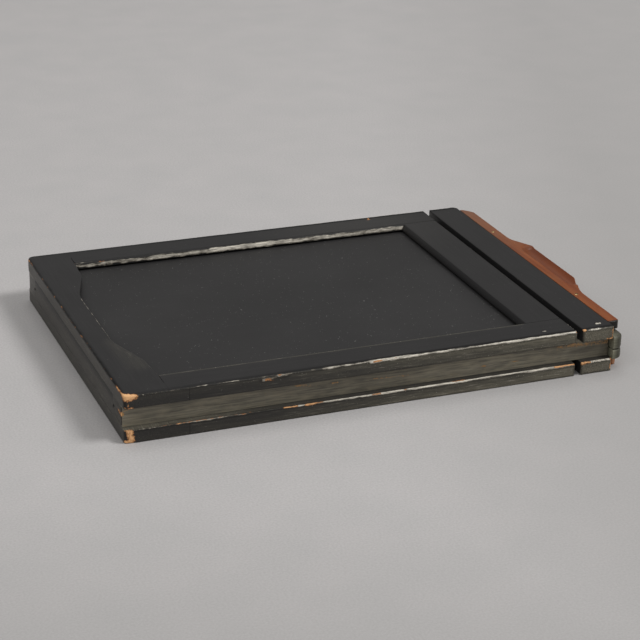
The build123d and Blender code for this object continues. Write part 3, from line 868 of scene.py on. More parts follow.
# %% [markdown]
# ### Oiled wood of the pulls
#
# The grips are the one warm colour: a red-brown hardwood such as mahogany, stained and polished by
# fingers. Short dark pores run along its grain. The hollow is darker and redder where fingers have
# oiled it, and the crisp outer edges are pale. Towards the far end the wood turns greyer, and the near
# end of the upper grip is black with old lacquer.

# %% Make the oiled wood
grip_low, grip_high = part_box("upper_pull_grip")
black_start = grip_low.y + 0.7 * mm
black_end = grip_low.y + 2.0 * mm


def oiled_wood():
    """Red-brown wood with pores along Y, told by the stored amounts where it is oiled and where pale."""
    material, tree, shader, place = new_material("oiled_mahogany", Specular_IOR_Level=0.3)
    figure = speckle(tree, place, (2.2, 30, 2.2), 4.0)
    pores = speckle(tree, place, (0.3, 5, 0.3), 4.0, 0.65)
    clouds = speckle(tree, place, 7, 3.0)
    handled = add_node(tree, "Attribute", give="Fac", attribute_name="rub")
    pale = add_node(tree, "Attribute", give="Fac", attribute_name="bare")
    across = add_node(tree, "SeparateXYZ", [place], give="Y")
    height = add_node(tree, "SeparateXYZ", [place], give="Z")

    figured = add_node(tree, "MapRange", [figure, 0.3, 0.7])
    porous = add_node(tree, "MapRange", [pores, 0.55, 0.7, 0.0, 0.5])
    clouded = add_node(tree, "MapRange", [clouds, 0.55, 0.75, 0.0, 0.25])
    oiled = add_node(tree, "MapRange", [handled, 0.0, 0.6, 0.0, 0.6])
    wood = add_node(tree, "Mix", [figured, "#793b18", "#925024"], **colours)
    wood = add_node(tree, "Mix", [porous, wood, "#4a2413"], **colours)
    wood = add_node(tree, "Mix", [clouded, wood, "#8d5f3e"], **colours)
    wood = add_node(tree, "Mix", [oiled, wood, "#62290d"], **colours)

    pale_sum = add_node(tree, "Math", [pores, 0.5, pale], operation="MULTIPLY_ADD")
    pale_mask = add_node(tree, "MapRange", [pale_sum, 0.85, 1.1], **softly)
    pale_mask = add_node(tree, "Math", [pale_mask, 0.6], operation="MULTIPLY")
    greyed = add_node(tree, "MapRange", [across, 0.0, grip_high.y, 0.0, 0.5])
    wood = add_node(tree, "Mix", [pale_mask, wood, "#b98a68"], **colours)
    wood = add_node(tree, "Mix", [greyed, wood, "#766253"], **colours)

    end_edge = add_node(tree, "Math", [clouds, 1.2 * mm, across], operation="MULTIPLY_ADD")
    blacked = add_node(tree, "MapRange", [end_edge, black_start, black_end, 1.0, 0.0], **softly)
    on_upper = add_node(tree, "Math", [height, middle_z], operation="GREATER_THAN")
    blacked = add_node(tree, "Math", [blacked, on_upper], operation="MULTIPLY")
    wood = add_node(tree, "Mix", [blacked, wood, "#201d1b"], **colours)
    tree.links.new(wood, shader.inputs["Base Color"])
    tree.links.new(add_node(tree, "MapRange", [handled, 0.0, 1.0, 0.42, 0.3]), shader.inputs["Roughness"])
    bump_inputs = {"Height": pores, "Strength": 0.4, "Distance": 0.06 * mm}
    tree.links.new(add_node(tree, "Bump", bump_inputs), shader.inputs["Normal"])
    return material


grip_wood = oiled_wood()
print("materials so far:", grip_wood.name)

# %% [markdown]
# ### Brass, japanned steel and velvet
#
# Inside, the springs and the catch are rolled brass, brown with tarnish and marked along the rolling
# direction. The pins were filed flush, so their ends are bright. The septum is steel sheet with matt
# black japan. The light trap is sealed with velvet, whose short pile is black with a soft grey sheen.

# %% Make the metals and the velvet
def rolled_brass(name, bright, tarnish, share, roughness):
    """Brass with streaks along Y and spots of tarnish."""
    material, tree, shader, place = new_material(name, Metallic=1.0)
    streaks = speckle(tree, place, (0.25, 12, 0.25), 3.0)
    spots = speckle(tree, place, 2.5, 5.0, 0.6)
    tarnished = add_node(tree, "MapRange", [spots, share - 0.12, share + 0.12])
    brass = add_node(tree, "Mix", [tarnished, bright, tarnish], **colours)
    brass = add_node(tree, "Mix", [0.3, brass, streaks], **multiplied)
    tree.links.new(brass, shader.inputs["Base Color"])
    rough = add_node(tree, "MapRange", [spots, 0.3, 0.7, roughness, roughness + 0.18])
    tree.links.new(rough, shader.inputs["Roughness"])
    bump_inputs = {"Height": streaks, "Strength": 0.2, "Distance": 0.02 * mm}
    tree.links.new(add_node(tree, "Bump", bump_inputs), shader.inputs["Normal"])
    return material


def japanned_steel():
    """Matt black baked enamel with a slight orange peel and a few scratches."""
    material, tree, shader, place = new_material("japanned_steel", Specular_IOR_Level=0.4)
    peel = speckle(tree, place, 0.7)
    scratches = speckle(tree, place, (0.3, 22, 0.3), 3.0, 0.7)
    scratched = add_node(tree, "MapRange", [scratches, 0.66, 0.72, 0.0, 0.4])
    enamel = add_node(tree, "Mix", [peel, "#1b1a1a", "#242322"], **colours)
    enamel = add_node(tree, "Mix", [scratched, enamel, "#6f6d6b"], **colours)
    tree.links.new(enamel, shader.inputs["Base Color"])
    tree.links.new(add_node(tree, "MapRange", [peel, 0.3, 0.7, 0.42, 0.55]), shader.inputs["Roughness"])
    bump_inputs = {"Height": peel, "Strength": 0.15, "Distance": 0.02 * mm}
    tree.links.new(add_node(tree, "Bump", bump_inputs), shader.inputs["Normal"])
    return material


def cotton_velvet():
    """Short black pile, with patches that lean one way or the other."""
    finish = {"Roughness": 0.95, "Specular_IOR_Level": 0.1, "Sheen_Weight": 0.5, "Sheen_Roughness": 0.4}
    material, tree, shader, place = new_material("cotton_velvet", **finish)
    pile = speckle(tree, place, 0.25, 2.0)
    lean = speckle(tree, place, 4)
    leaning = add_node(tree, "MapRange", [lean, 0.4, 0.7, 0.0, 0.5])
    nap = add_node(tree, "Mix", [pile, "#0b0b0c", "#1d1d1f"], **colours)
    nap = add_node(tree, "Mix", [leaning, nap, "#2a2a2c"], **colours)
    tree.links.new(nap, shader.inputs["Base Color"])
    bump_inputs = {"Height": pile, "Strength": 0.8, "Distance": 0.15 * mm}
    tree.links.new(add_node(tree, "Bump", bump_inputs), shader.inputs["Normal"])
    return material


spring_brass = rolled_brass("tarnished_rolled_brass", "#c39c55", "#86683a", 0.55, 0.3)
pin_brass = rolled_brass("filed_brass", "#e3c48a", "#a07c46", 0.62, 0.22)
septum_steel = japanned_steel()
velvet = cotton_velvet()
print("materials so far:", [item.name for item in (spring_brass, pin_brass, septum_steel, velvet)])

# %% [markdown]
# ## The side rails of the faces
#
# Each face has two long rails. The slide runs in a rabbet under the inner edge, so the section is a
# block with a thin lip. The block is a cube, the lip is one of its faces pulled inwards, and the edges
# are bevelled and sliced so that they can be worn. The four rails are the same board turned about, so
# one function makes them, told the side and the face.

# %% Model the four side rails
wall_slant = 0.4 * mm
wall_foot = 0.5 * mm
outer_round = 0.5 * mm
inner_round = 0.25 * mm
far_bead = 1.0 * mm
wear_step = 0.9 * mm
beside_edge = [reach * mm for reach in (0.5, 0.9, 1.5, 2.4, 4.0)]


def side_rail(name, side, upper):
    """Make a rail with its lip, for one side of one face."""
    inward = -1 if upper else 1
    outer_z, inner_z = face_level(upper, 0), face_level(upper, layer_depth)
    under_lip = face_level(upper, lip_thickness)
    y_ends = sorted((side * half_width, side * half_slot))
    z_ends = sorted((outer_z, inner_z))
    piece = start_board(name, (opening_x, y_ends[0], z_ends[0]), (groove_x, y_ends[1], z_ends[1]))
    slice_at(2, [under_lip])
    choose("FACE", lambda c, n: near(c.y, side * half_slot) and abs(c.z - outer_z) < lip_thickness)
    lip_width = half_slot - half_opening + wall_slant
    bpy.ops.mesh.extrude_region_move(TRANSFORM_OT_translate={"value": (0, -side * lip_width, 0)})
    slice_at(2, [under_lip - inward * wall_foot])
    inner_y = side * (half_opening - wall_slant)
    choose("VERT", lambda c: near(c.y, inner_y) and near(c.z, outer_z))
    bpy.ops.transform.translate(value=(0, side * wall_slant, 0))

    round_edges(outer_round, lambda c: near(c.z, outer_z) and near(abs(c.y), half_width))
    bead = far_bead if side > 0 else inner_round
    round_edges(bead, lambda c: near(c.z, outer_z) and near(abs(c.y), half_opening), segments=5)
    round_edges(inner_round, lambda c: near(c.z, inner_z) and near(abs(c.y), half_width))
    slice_at(1, [side * (half_width - reach) for reach in beside_edge])
    slice_at(1, [side * (half_opening + reach) for reach in beside_edge[1:4]])
    slice_at(2, [face_level(upper, reach) for reach in beside_edge[:4]])
    slice_at(2, [face_level(upper, layer_depth - reach) for reach in beside_edge[:3]])
    slice_at(0, steps(opening_x, groove_x, wear_step))
    slice_at(0, [groove_x - reach for reach in beside_edge[:2]])
    finish_piece(piece)
    return piece


for upper in (True, False):
    for side, side_name in ((-1, "near"), (1, "far")):
        node = f"{'upper' if upper else 'lower'}_rail_{side_name}"
        rail = side_rail(f"{node}_worn", side, upper)
        weather(rail, chips)
        hand_over(rail, lacquer_along, "frame", "black_wood", node)

# %% [markdown]
# ## The end rails
#
# The end rail closes the face opposite the pulls. It has the same lip over the slot of the slide, and a
# solid foot round three sides of it. Its inner edge is cut back in a shallow notch, where a fingertip
# gets under the plate. The notch has straight flanks that run softly into its floor, so the front
# points of the board are moved to where three straight lines and two soft blends put them.

# %% Give the line of the finger notch
notch_floor = 8.5 * mm
notch_half_floor = 21.3 * mm
notch_half_mouth = 38.5 * mm
notch_shoulder = 14.0 * mm
notch_floor_blend = 1.1 * mm
notch_shoulder_blend = 0.26 * mm
full_length = opening_x - closed_x
shoulder_run = half_opening - notch_half_mouth
flank_slope = (notch_shoulder - notch_floor) / (notch_half_mouth - notch_half_floor)


def soft_least(first, second, blend):
    """Give the smaller of two lengths, rounded off where they are nearly the same."""
    return min(first, second) - max(blend - abs(first - second), 0) ** 2 / (4 * blend)


def soft_most(first, second, blend):
    """Give the larger of two lengths, rounded off where they are nearly the same."""
    return -soft_least(-first, -second, blend)


def notch_edge(y):
    """Give how far the notch's edge stands from the closed end at a distance from the middle line."""
    y = min(abs(y), half_opening)
    shoulder = full_length - (half_opening - y) * (full_length - notch_shoulder) / shoulder_run
    flank = notch_shoulder - (notch_half_mouth - y) * flank_slope
    return soft_most(soft_least(shoulder, flank, notch_shoulder_blend), notch_floor, notch_floor_blend)


print("notch depth in mm:", round((full_length - notch_edge(0)) / mm, 2))


# %% Model the two end rails
notch_cut = 2.0 * mm
notch_zone = 2.05 * mm
near_corner_round = 1.4 * mm
far_corner_round = 2.6 * mm


def end_rail(name, upper):
    """Make the rail of the closed end, with its foot and its finger notch."""
    outer_z, inner_z = face_level(upper, 0), face_level(upper, layer_depth)
    under_lip = face_level(upper, lip_thickness)
    z_ends = sorted((outer_z, under_lip))
    piece = start_board(name, (closed_x, -half_width, z_ends[0]), (opening_x, half_width, z_ends[1]))
    slice_at(0, [slot_x])
    slice_at(1, [-half_slot, half_slot])
    choose("FACE", lambda c, n: near(c.z, under_lip) and (c.x < slot_x or abs(c.y) > half_slot))
    bpy.ops.mesh.extrude_region_move(TRANSFORM_OT_translate={"value": (0, 0, inner_z - under_lip)})

    round_edges(near_corner_round, lambda c: near(c.x, closed_x) and near(c.y, -half_width), segments=5)
    round_edges(far_corner_round, lambda c: near(c.x, closed_x) and near(c.y, half_width), segments=5)
    round_edges(
        outer_round,
        lambda c: near(c.z, outer_z) and (near(abs(c.y), half_width) or c.x < closed_x + far_corner_round),
    )
    round_edges(
        inner_round,
        lambda c: near(c.z, outer_z) and near(c.x, opening_x) and abs(c.y) < half_slot,
    )
    round_edges(inner_round, lambda c: near(c.z, inner_z) and near(abs(c.y), half_width))
    for side in (-1, 1):
        slice_at(1, [side * (half_width - reach) for reach in beside_edge])
        slice_at(1, [side * half_opening])
    slice_at(1, steps(-half_opening, half_opening, wear_step))
    slice_at(0, [closed_x + reach for reach in beside_edge])
    slice_at(0, [opening_x - reach for reach in beside_edge[1:3]] + [opening_x - notch_cut])
    slice_at(2, [face_level(upper, reach) for reach in beside_edge[:3]])
    slice_at(2, [face_level(upper, layer_depth - reach) for reach in beside_edge[:3]])
    reshape(
        lambda c: c + Vector((notch_edge(c.y) - full_length, 0, 0))
        if c.x > opening_x - notch_zone and abs(c.y) < half_opening
        else c
    )
    finish_piece(piece)
    return piece


for upper in (True, False):
    node = f"{'upper' if upper else 'lower'}_end_rail"
    rail = end_rail(f"{node}_worn", upper)
    weather(rail, chips)
    hand_over(rail, lacquer_across, "frame", "black_wood", node)

# %% [markdown]
# ## The cross rails and the head strips
#
# Beyond the plate, a cross rail spans the opening over the slide, and a groove parts it from the head
# strip, under which the slide leaves the holder. The cross rail is a thin board with a sloping inner
# edge. The head strip is a lip with a foot at each end, pulled down on either side of the slot.

# %% Model the cross rails
slope_width = 0.9 * mm
slope_depth = 1.6 * mm


def cross_rail(name, upper):
    """Make the rail between the opening and the groove."""
    outer_z, under_lip = face_level(upper, 0), face_level(upper, lip_thickness)
    z_ends = sorted((outer_z, under_lip))
    piece = start_board(name, (cross_x, -half_opening, z_ends[0]), (groove_x, half_opening, z_ends[1]))
    slice_at(2, [face_level(upper, slope_depth)])
    choose("VERT", lambda c: near(c.x, cross_x) and near(c.z, outer_z))
    bpy.ops.transform.translate(value=(slope_width, 0, 0))
    round_edges(inner_round, lambda c: near(c.z, outer_z) and near(c.x, cross_x + slope_width))
    round_edges(inner_round / 2, lambda c: near(c.z, outer_z) and near(c.x, groove_x))
    slice_at(0, [cross_x + slope_width + reach for reach in beside_edge[1:4]])
    slice_at(0, [groove_x - reach for reach in beside_edge[:3]])
    slice_at(1, steps(-half_opening, half_opening, 2 * wear_step))
    finish_piece(piece)
    return piece


for upper in (True, False):
    node = f"{'upper' if upper else 'lower'}_cross_rail"
    rail = cross_rail(f"{node}_worn", upper)
    weather(rail, chips)
    hand_over(rail, lacquer_across, "frame", "black_wood", node)


# %% Model the head strips
strip_corners = (
    (mouth_x, -1, 0.6 * mm),
    (strip_x, -1, 0.4 * mm),
    (mouth_x, 1, 2.0 * mm),
    (strip_x, 1, 0.9 * mm),
)
strip_skin, mouth_skin = 1.0 * mm, 2.1 * mm
strip_margin = 2.4 * mm


def head_strip(name, upper):
    """Make the strip beyond the groove, with its two feet."""
    outer_z, inner_z = face_level(upper, 0), face_level(upper, layer_depth)
    under_lip = face_level(upper, lip_thickness)
    z_ends = sorted((outer_z, under_lip))
    piece = start_board(name, (strip_x, -half_width, z_ends[0]), (mouth_x, half_width, z_ends[1]))
    slice_at(1, [-half_slot, half_slot])
    choose("FACE", lambda c, n: near(c.z, under_lip) and abs(c.y) > half_slot)
    bpy.ops.mesh.extrude_region_move(TRANSFORM_OT_translate={"value": (0, 0, inner_z - under_lip)})
    for edge_x, side, radius in strip_corners:
        round_edges(radius, lambda c: near(c.x, edge_x) and near(c.y, side * half_width), segments=4)
    round_edges(
        inner_round,
        lambda c: near(c.z, outer_z)
        and (c.x < strip_x + strip_skin or c.x > mouth_x - mouth_skin)
        and abs(c.y) < half_width - 0.01 * mm,
    )
    round_edges(outer_round, lambda c: near(c.z, outer_z) and near(abs(c.y), half_width))
    round_edges(inner_round, lambda c: near(c.z, inner_z) and near(abs(c.y), half_width))
    for side in (-1, 1):
        slice_at(1, [side * (half_width - reach) for reach in beside_edge])
    slice_at(1, steps(-half_slot, half_slot, 2 * wear_step))
    slice_at(0, [strip_x + reach for reach in beside_edge[:4]])
    slice_at(0, [mouth_x - reach for reach in beside_edge[:4]])
    slice_at(0, steps(strip_x + strip_margin, mouth_x - strip_margin, wear_step))
    slice_at(2, [face_level(upper, reach) for reach in beside_edge[:3]])
    slice_at(2, [face_level(upper, layer_depth - reach) for reach in beside_edge[:3]])
    finish_piece(piece)
    return piece


for upper in (True, False):
    node = f"{'upper' if upper else 'lower'}_head_strip"
    strip = head_strip(f"{node}_worn", upper)
    weather(strip, chips)
    hand_over(strip, lacquer_across, "frame", "black_wood", node)

# %% [markdown]
# ## The core
#
# Two narrow rails and a block make the core that the faces are glued to. Their outer sides are what the
# camera's guides run on, so they are scuffed and a little uneven. A groove in the inner sides holds the
# septum, pushed in from the face as a plough plane would cut it.

# %% Model the core rails and the closed end
septum_low, septum_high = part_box("septum")
block_low, block_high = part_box("core_end_block")
half_pocket = core_low.y
groove_depth = 1.5 * mm


def core_rail(name, side):
    """Make a rail of the core, with the groove of the septum in its inner side."""
    y_ends = sorted((side * half_pocket, side * half_core))
    piece = start_board(name, (closed_x, y_ends[0], core_bottom_z), (mouth_x, y_ends[1], core_top_z))
    slice_at(2, [septum_low.z, septum_high.z])
    choose("FACE", lambda c, n: near(c.y, side * half_pocket) and near(c.z, middle_z))
    bpy.ops.mesh.extrude_region_move(TRANSFORM_OT_translate={"value": (0, side * groove_depth, 0)})
    round_edges(
        inner_round,
        lambda c: near(abs(c.y), half_core) and (near(c.x, closed_x) or near(c.x, mouth_x)),
    )
    slice_at(2, steps(core_bottom_z, core_top_z, wear_step))
    slice_at(0, steps(closed_x, mouth_x, 2 * wear_step))
    finish_piece(piece)
    return piece


def end_block(name):
    """Make the block that closes the core, with the groove of the septum."""
    piece = start_board(name, block_low, block_high)
    slice_at(2, [septum_low.z, septum_high.z])
    choose("FACE", lambda c, n: near(c.x, block_high.x) and near(c.z, middle_z))
    bpy.ops.mesh.extrude_region_move(TRANSFORM_OT_translate={"value": (-groove_depth, 0, 0)})
    round_edges(
        inner_round / 2,
        lambda c: near(c.x, closed_x) and (near(c.z, core_top_z) or near(c.z, core_bottom_z)),
    )
    slice_at(1, steps(-half_pocket, half_pocket, 2 * wear_step))
    finish_piece(piece)
    return piece


for side, side_name in ((-1, "near"), (1, "far")):
    rail = core_rail(f"core_rail_{side_name}_scuffed", side)
    weather(rail, core_scuffs)
    hand_over(rail, core_wood, "frame", "core_wood", f"core_rail_{side_name}")
    rail.data.materials.append(lacquer_across)
    for face in rail.data.polygons:
        if face.center.x < closed_x + 0.5 * mm:
            face.material_index = 1
block = end_block("core_end_block_scuffed")
weather(block, core_scuffs)
hand_over(block, lacquer_across, "frame", "core_wood", "core_end_block")

# %% [markdown]
# ## The slides
#
# A slide is a sheet of board with a pull at its outer end. The sheet's two leading corners are rounded
# so that they find the slot, and its long edges are eased. It could be a plain thin box, but the light
# that creeps along a rounded edge is what makes it read as a sheet.

# %% Model the two sheets
leading_round = 2.0 * mm
sheet_ease = 0.15 * mm
sheet_step = 8 * mm


def slide_sheet(name, node):
    """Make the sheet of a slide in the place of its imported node."""
    low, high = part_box(node)
    piece = start_board(name, low, high)
    round_edges(leading_round, lambda c: near(c.x, low.x) and near(abs(c.y), high.y), segments=6)
    round_edges(
        sheet_ease,
        lambda c: (near(c.z, low.z) or near(c.z, high.z))
        and (c.x < low.x + leading_round or near(abs(c.y), high.y)),
        segments=2,
    )
    slice_at(0, steps(low.x, high.x, sheet_step))
    slice_at(1, steps(low.y, high.y, sheet_step))
    finish_piece(piece)
    return piece


for face_name in ("upper", "lower"):
    node = f"{face_name}_slide_sheet"
    sheet = slide_sheet(f"{node}_eased", node)
    hand_over(sheet, fibre_board, f"{face_name}_slide", "sheath_board", node)

# %% [markdown]
# ## The grips
#
# The grip is a strip with a wing in its middle, hollowed for a fingertip. The strip is sliced into a
# fine grid, and its points are moved: outwards to the line of the wing, and down to the surface of the
# hollow, which is the round nose of a gouge drawn along the wing. Working from formulas keeps the rim
# crisp, where a sculpted dent would blur it.

# %% Give the outline and the hollow of a grip
flat_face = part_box("upper_pull_backing")[1].x
wing_tip = grip_high.x
far_foot, far_tip = 24.2 * mm, 14.8 * mm
near_tip, near_foot = -17.9 * mm, -31.3 * mm
foot_blend = 1.1 * mm
tip_blend = 0.35 * mm
gouge_radius = 4.2 * mm
gouge_depth = 1.35 * mm
gouge_x = flat_face + 2.1 * mm
gouge_far, gouge_near = 13.0 * mm, -21.9 * mm
rim_round = 0.4 * mm
near_end_round = 1.6 * mm
far_end_length, far_end_width, far_end_slope = 1.5 * mm, 2.2 * mm, 0.12
grip_sink = 0.08 * mm


def ramp_between(y, foot, tip):
    """Give the straight shoulder of the wing that runs from a foot to a tip."""
    return flat_face + (wing_tip - flat_face) * (y - foot) / (tip - foot)


def grip_edge(y):
    """Give the outer edge of the grip at a place across the holder."""
    wing = soft_least(ramp_between(y, far_foot, far_tip), ramp_between(y, near_foot, near_tip), tip_blend)
    edge = soft_most(flat_face, soft_least(wing, wing_tip, tip_blend), foot_blend)
    from_far_end = max(grip_high.y - y, 0)
    eased = grip_low.x + far_end_width * (from_far_end / far_end_length) ** 0.5 + far_end_slope * from_far_end
    from_near_end = min(max(y - grip_low.y, 0), near_end_round)
    turned = near_end_round - math.sqrt(near_end_round**2 - (near_end_round - from_near_end) ** 2)
    return min(edge, eased) - turned


def hollow_depth(x, y):
    """Give how deep the hollow is at a place."""
    beyond = max(y - gouge_far, gouge_near - y, 0)
    distance = math.hypot(x - gouge_x, beyond)
    if distance >= gouge_radius:
        return 0.0
    return max(math.sqrt(gouge_radius**2 - distance**2) - (gouge_radius - gouge_depth), 0)


print("wing stands out in mm:", round((wing_tip - flat_face) / mm, 2))

# %% Model the two grips
# the grid is even across the grip, and closer where it nears the rim and the ends
column_places = [share / 24 for share in range(1, 22)] + [0.915, 0.95, 0.975, 0.99]
row_step = 0.5 * mm
far_rows = [reach * mm for reach in (0.1, 0.25, 0.45)]
near_rows = [reach * mm for reach in (0.1, 0.3)]
layer_rows = [reach * mm for reach in (1.5, 2.2)]
pale_rim = 0.5 * mm


def pull_grip(name, upper):
    """Make the grip of a slide's pull."""
    outer_z, inner_z = face_level(upper, 0), face_level(upper, grip_high.z - grip_low.z)
    inward = -1 if upper else 1
    z_ends = sorted((outer_z, inner_z))
    piece = start_board(name, (grip_low.x, grip_low.y, z_ends[0]), (wing_tip, grip_high.y, z_ends[1]))
    slice_at(0, [grip_low.x + share * (wing_tip - grip_low.x) for share in column_places])
    slice_at(1, steps(grip_low.y, grip_high.y, row_step))
    slice_at(1, [grip_high.y - reach for reach in far_rows])
    slice_at(1, [grip_low.y + reach for reach in near_rows])
    slice_at(2, [face_level(upper, reach) for reach in layer_rows])

    def shaped(c):
        edge_x = grip_edge(c.y)
        x = grip_low.x + (c.x - grip_low.x) / (wing_tip - grip_low.x) * (edge_x - grip_low.x)
        if not near(c.z, outer_z):
            return Vector((x, c.y, c.z))
        from_rim = min(edge_x - x, c.y - grip_low.y, grip_high.y - c.y)
        rounding = rim_round - math.sqrt(max(rim_round**2 - max(rim_round - from_rim, 0) ** 2, 0))
        return Vector((x, c.y, outer_z + inward * (grip_sink + rounding + hollow_depth(x, c.y))))

    reshape(shaped)
    finish_piece(piece, smooth_angle=50)
    return piece


def polish_grip(piece):
    """Store where fingers have oiled the wood, and where its rim is pale."""
    mesh = piece.data
    depths = [hollow_depth(point.co.x, point.co.y) / gouge_depth for point in mesh.vertices]
    rims = [falloff(grip_edge(point.co.y) - point.co.x, pale_rim) for point in mesh.vertices]
    for name, amount in (("rub", depths), ("bare", rims)):
        mesh.attributes.new(name, "FLOAT", "POINT").data.foreach_set("value", amount)


for upper in (True, False):
    face_name = "upper" if upper else "lower"
    grip = pull_grip(f"{face_name}_pull_grip_carved", upper)
    polish_grip(grip)
    hand_over(grip, grip_wood, f"{face_name}_slide", "grip_wood", f"{face_name}_pull_grip")

# %% [markdown]
# ## The backings and the pins
#
# A black strip backs each pull, as wide as the frame, and two brass pins go through grip, sheet and
# backing. The backing is a board with generous rounds at its outer corners. A pin is a short cylinder
# whose filed end has a bevelled rim and a slight dome, made by insetting its cap and raising the middle.
# The end is first lowered a little, so that the dome doesn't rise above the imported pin.

# %% Model the backings
backing_corner = 3.2 * mm
backing_ease = 0.6 * mm


def pull_backing(name, node):
    """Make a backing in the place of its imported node."""
    low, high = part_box(node)
    piece = start_board(name, low, high)
    round_edges(backing_corner, lambda c: near(c.x, high.x) and near(abs(c.y), half_width), segments=6)
    round_edges(
        backing_ease,
        lambda c: (near(c.z, low.z) or near(c.z, high.z))
        and (c.x > high.x - backing_corner or near(abs(c.y), half_width)),
    )
    slice_at(1, steps(low.y, high.y, 2 * wear_step))
    finish_piece(piece, smooth_angle=50)
    return piece


for face_name in ("upper", "lower"):
    node = f"{face_name}_pull_backing"
    backing = pull_backing(f"{node}_eased", node)
    # the stored amount darkens the outer end of the backing as painted shade
    weather(backing)
    hand_over(backing, backing_wood, f"{face_name}_slide", "black_wood", node)

# %% Model the pins
pin_rim = 0.12 * mm
pin_dome = 0.05 * mm
pin_sink = 0.09 * mm
dome_steps = ((0.25 * mm, 0.6), (0.2 * mm, 0.3))


def pull_pins(name, node, upper):
    """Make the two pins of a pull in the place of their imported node."""
    low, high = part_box(node)
    radius = (high.x - low.x) / 2
    outer_z = face_level(upper, 0)
    outward = 1 if upper else -1
    bpy.ops.object.select_all(action="DESELECT")
    for number, y in enumerate((low.y + radius, high.y - radius)):
        place = ((low.x + high.x) / 2, y, (low.z + high.z) / 2)
        bpy.ops.mesh.primitive_cylinder_add(radius=radius, depth=high.z - low.z, location=place)
        if number == 0:
            piece = bpy.context.object
            piece.name = piece.data.name = name
            bpy.ops.object.transform_apply(location=True, rotation=False, scale=False)
            bpy.ops.object.mode_set(mode="EDIT")
    drop = pin_sink * outward
    choose("VERT", lambda c: near(c.z, outer_z))
    bpy.ops.transform.translate(value=(0, 0, -drop))
    choose("EDGE", lambda c: near(c.z, outer_z - drop))
    bpy.ops.mesh.bevel(offset=pin_rim, segments=2, affect="EDGES")
    choose("FACE", lambda c, n: near(c.z, outer_z - drop) and abs(n.z) > 0.9)
    for width, rise in dome_steps:
        bpy.ops.mesh.inset(thickness=width, depth=rise * pin_dome)
    finish_piece(piece, smooth_angle=50)
    return piece


for upper in (True, False):
    face_name = "upper" if upper else "lower"
    node = f"{face_name}_pull_pins"
    pins = pull_pins(f"{node}_filed", node, upper)
    hand_over(pins, pin_brass, f"{face_name}_slide", "brass_pin", node)

# %% [markdown]
# ## The light traps
#
# When a slide is out, a strip of velvet on a bowed spring closes its slot against light. In the packed
# model the velvet is a plain block. Here its crown is rounded, its pile is a little uneven all round,
# and it keeps the same place.

# %% Model the velvet strips
pile_round = 0.45 * mm
pile_unrest = 0.12 * mm
pile_tuft = 1.6 * mm
tuft_step_along, tuft_step_across = 0.6 * mm, 0.8 * mm


def velvet_strip(name, node, upper):
    """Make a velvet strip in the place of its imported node."""
    low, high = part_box(node)
    outer_z = high.z if upper else low.z
    piece = start_board(name, low, high)
    round_edges(
        pile_round,
        lambda c: near(c.z, outer_z) and (near(c.x, low.x) or near(c.x, high.x)),
        segments=4,
    )
    round_edges(pile_round, lambda c: near(c.z, outer_z) and near(abs(c.y), high.y), segments=4)
    slice_at(0, steps(low.x, high.x, tuft_step_along))
    slice_at(1, steps(low.y, high.y, tuft_step_across))
    slice_at(2, [(low.z + high.z) / 2])
    middle = (low + high) / 2

    def bulged(c):
        share = noise.noise(c / pile_tuft) * 0.5 + 0.5
        inwards = (middle - c).normalized()
        return c + inwards * pile_unrest * share

    reshape(bulged)
    finish_piece(piece, smooth_angle=60)
    return piece


for upper in (True, False):
    face_name = "upper" if upper else "lower"
    node = f"{face_name}_trap_velvet"
    strip = velvet_strip(f"{face_name}_trap_pile", node, upper)
    hand_over(strip, velvet, "frame", "black_velvet", node)

# %% [markdown]
# ## The inner pieces that keep their shape
#
# The septum, the springs, the catches and the wood under the slides are the shapes that they are in the
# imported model, and they are seen only when a slide is out. They stay, and each gets its real finish.

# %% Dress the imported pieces
inner_finishes = {"septum": septum_steel, "core_head_block": inner_wood}
for face_name in ("upper", "lower"):
    for piece_name in ("runner_near", "runner_far", "mouth_sill"):
        inner_finishes[f"{face_name}_{piece_name}"] = inner_wood
    for piece_name in ("trap_spring", "pressure_spring", "plate_catch", "catch_spring"):
        inner_finishes[f"{face_name}_{piece_name}"] = spring_brass
    inner_finishes[f"{face_name}_catch_pins"] = pin_brass
for node, finish in inner_finishes.items():
    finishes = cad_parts[node].data.materials
    finishes.clear()
    finishes.append(finish)
print("packed pieces dressed:", len(inner_finishes))

# %% [markdown]
# ## The floor and the light
#
# The photograph was taken on a seamless grey sheet under large soft lamps. The floor is one wide plane
# with a faint mottle. In the photograph the paper is darker on the right, less so further back, and in
# front of the holder, so the floor's colour is painted darker there too, as a painted shade. The key lamp
# hangs high on the right, which is why the shadow falls to the left and the near edge glints, on top of
# its painted highlight. A wide fill lamp on the left softens it, and a weak one above the far side lights
# the far edges.

# %% Add the floor
floor_size = 6.0
to_right = (0.93, -0.36, 0)
to_back = (0.36, 0.93, 0)


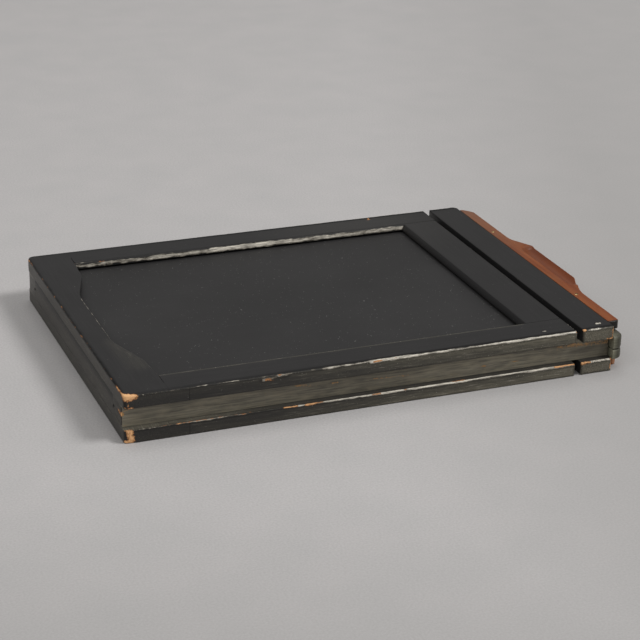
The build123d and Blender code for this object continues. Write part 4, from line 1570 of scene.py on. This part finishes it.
def paper_floor():
    """Matt grey paper with a faint mottle, and painted shade on the right and in front of the holder."""
    material, tree, shader, place = new_material("grey_backdrop_paper", Roughness=0.9, Specular_IOR_Level=0.1)
    mottle = speckle(tree, place, 22, 4.0)
    grit = speckle(tree, place, 0.7, 2.0)
    mottled = add_node(tree, "MapRange", [mottle, 0.3, 0.7])
    gritty = add_node(tree, "MapRange", [grit, 0.3, 0.7, 0.0, 0.3])
    paper = add_node(tree, "Mix", [mottled, "#c6c4c3", "#cbc8c7"], **colours)
    paper = add_node(tree, "Mix", [gritty, paper, "#9b9896"], **colours)

    across = add_node(tree, "VectorMath", [place, to_right], operation="DOT_PRODUCT")
    away = add_node(tree, "VectorMath", [place, to_back], operation="DOT_PRODUCT")
    # painted shade: darker on the right, less so further back, and in front of the holder
    shade_on_right = add_node(tree, "MapRange", [across, 20 * mm, 120 * mm, 0.0, 0.6])
    further_back = add_node(tree, "MapRange", [away, 100 * mm, 500 * mm, 1.0, 0.55])
    shade_on_right = add_node(tree, "Math", [shade_on_right, further_back], operation="MULTIPLY")
    shade_in_front = add_node(tree, "MapRange", [away, -200 * mm, -120 * mm, 0.4, 0.0])
    floor_shade = add_node(tree, "Math", [shade_on_right, shade_in_front], operation="MAXIMUM")
    paper = add_node(tree, "Mix", [floor_shade, paper, "#a5a3a1"], **colours)
    tree.links.new(paper, shader.inputs["Base Color"])
    return material


bpy.ops.object.select_all(action="DESELECT")
bpy.ops.mesh.primitive_plane_add(size=floor_size)
floor = bpy.context.object
floor.name = "floor"
floor.data.materials.append(paper_floor())
print("floor in metres:", floor_size)


# %% Add the lamps
def soft_lamp(name, place, size, power):
    """Add a square lamp that faces the holder."""
    bpy.ops.object.select_all(action="DESELECT")
    bpy.ops.object.light_add(type="AREA", location=place)
    lamp = bpy.context.object
    lamp.name = name
    lamp.rotation_euler = (-Vector(place)).to_track_quat("-Z", "Y").to_euler()
    lamp.data.size = size
    lamp.data.energy = power
    print("made", name, "with", power, "watts")


soft_lamp("key_lamp", (1.35, -0.85, 1.85), 0.75, 28.0)
soft_lamp("fill_lamp", (-1.4, -1.0, 1.9), 1.8, 13.0)
soft_lamp("back_lamp", (0.1, 0.7, 2.2), 1.0, 7.0)

room_grey = "#c4c3c2"
room_strength = 0.5
world = bpy.data.worlds.new("studio_room")
bpy.context.scene.world = world
world.use_nodes = True
background = world.node_tree.nodes["Background"]
background.inputs["Color"].default_value = linear(room_grey)
background.inputs["Strength"].default_value = room_strength
bpy.context.scene.view_settings.view_transform = "Standard"
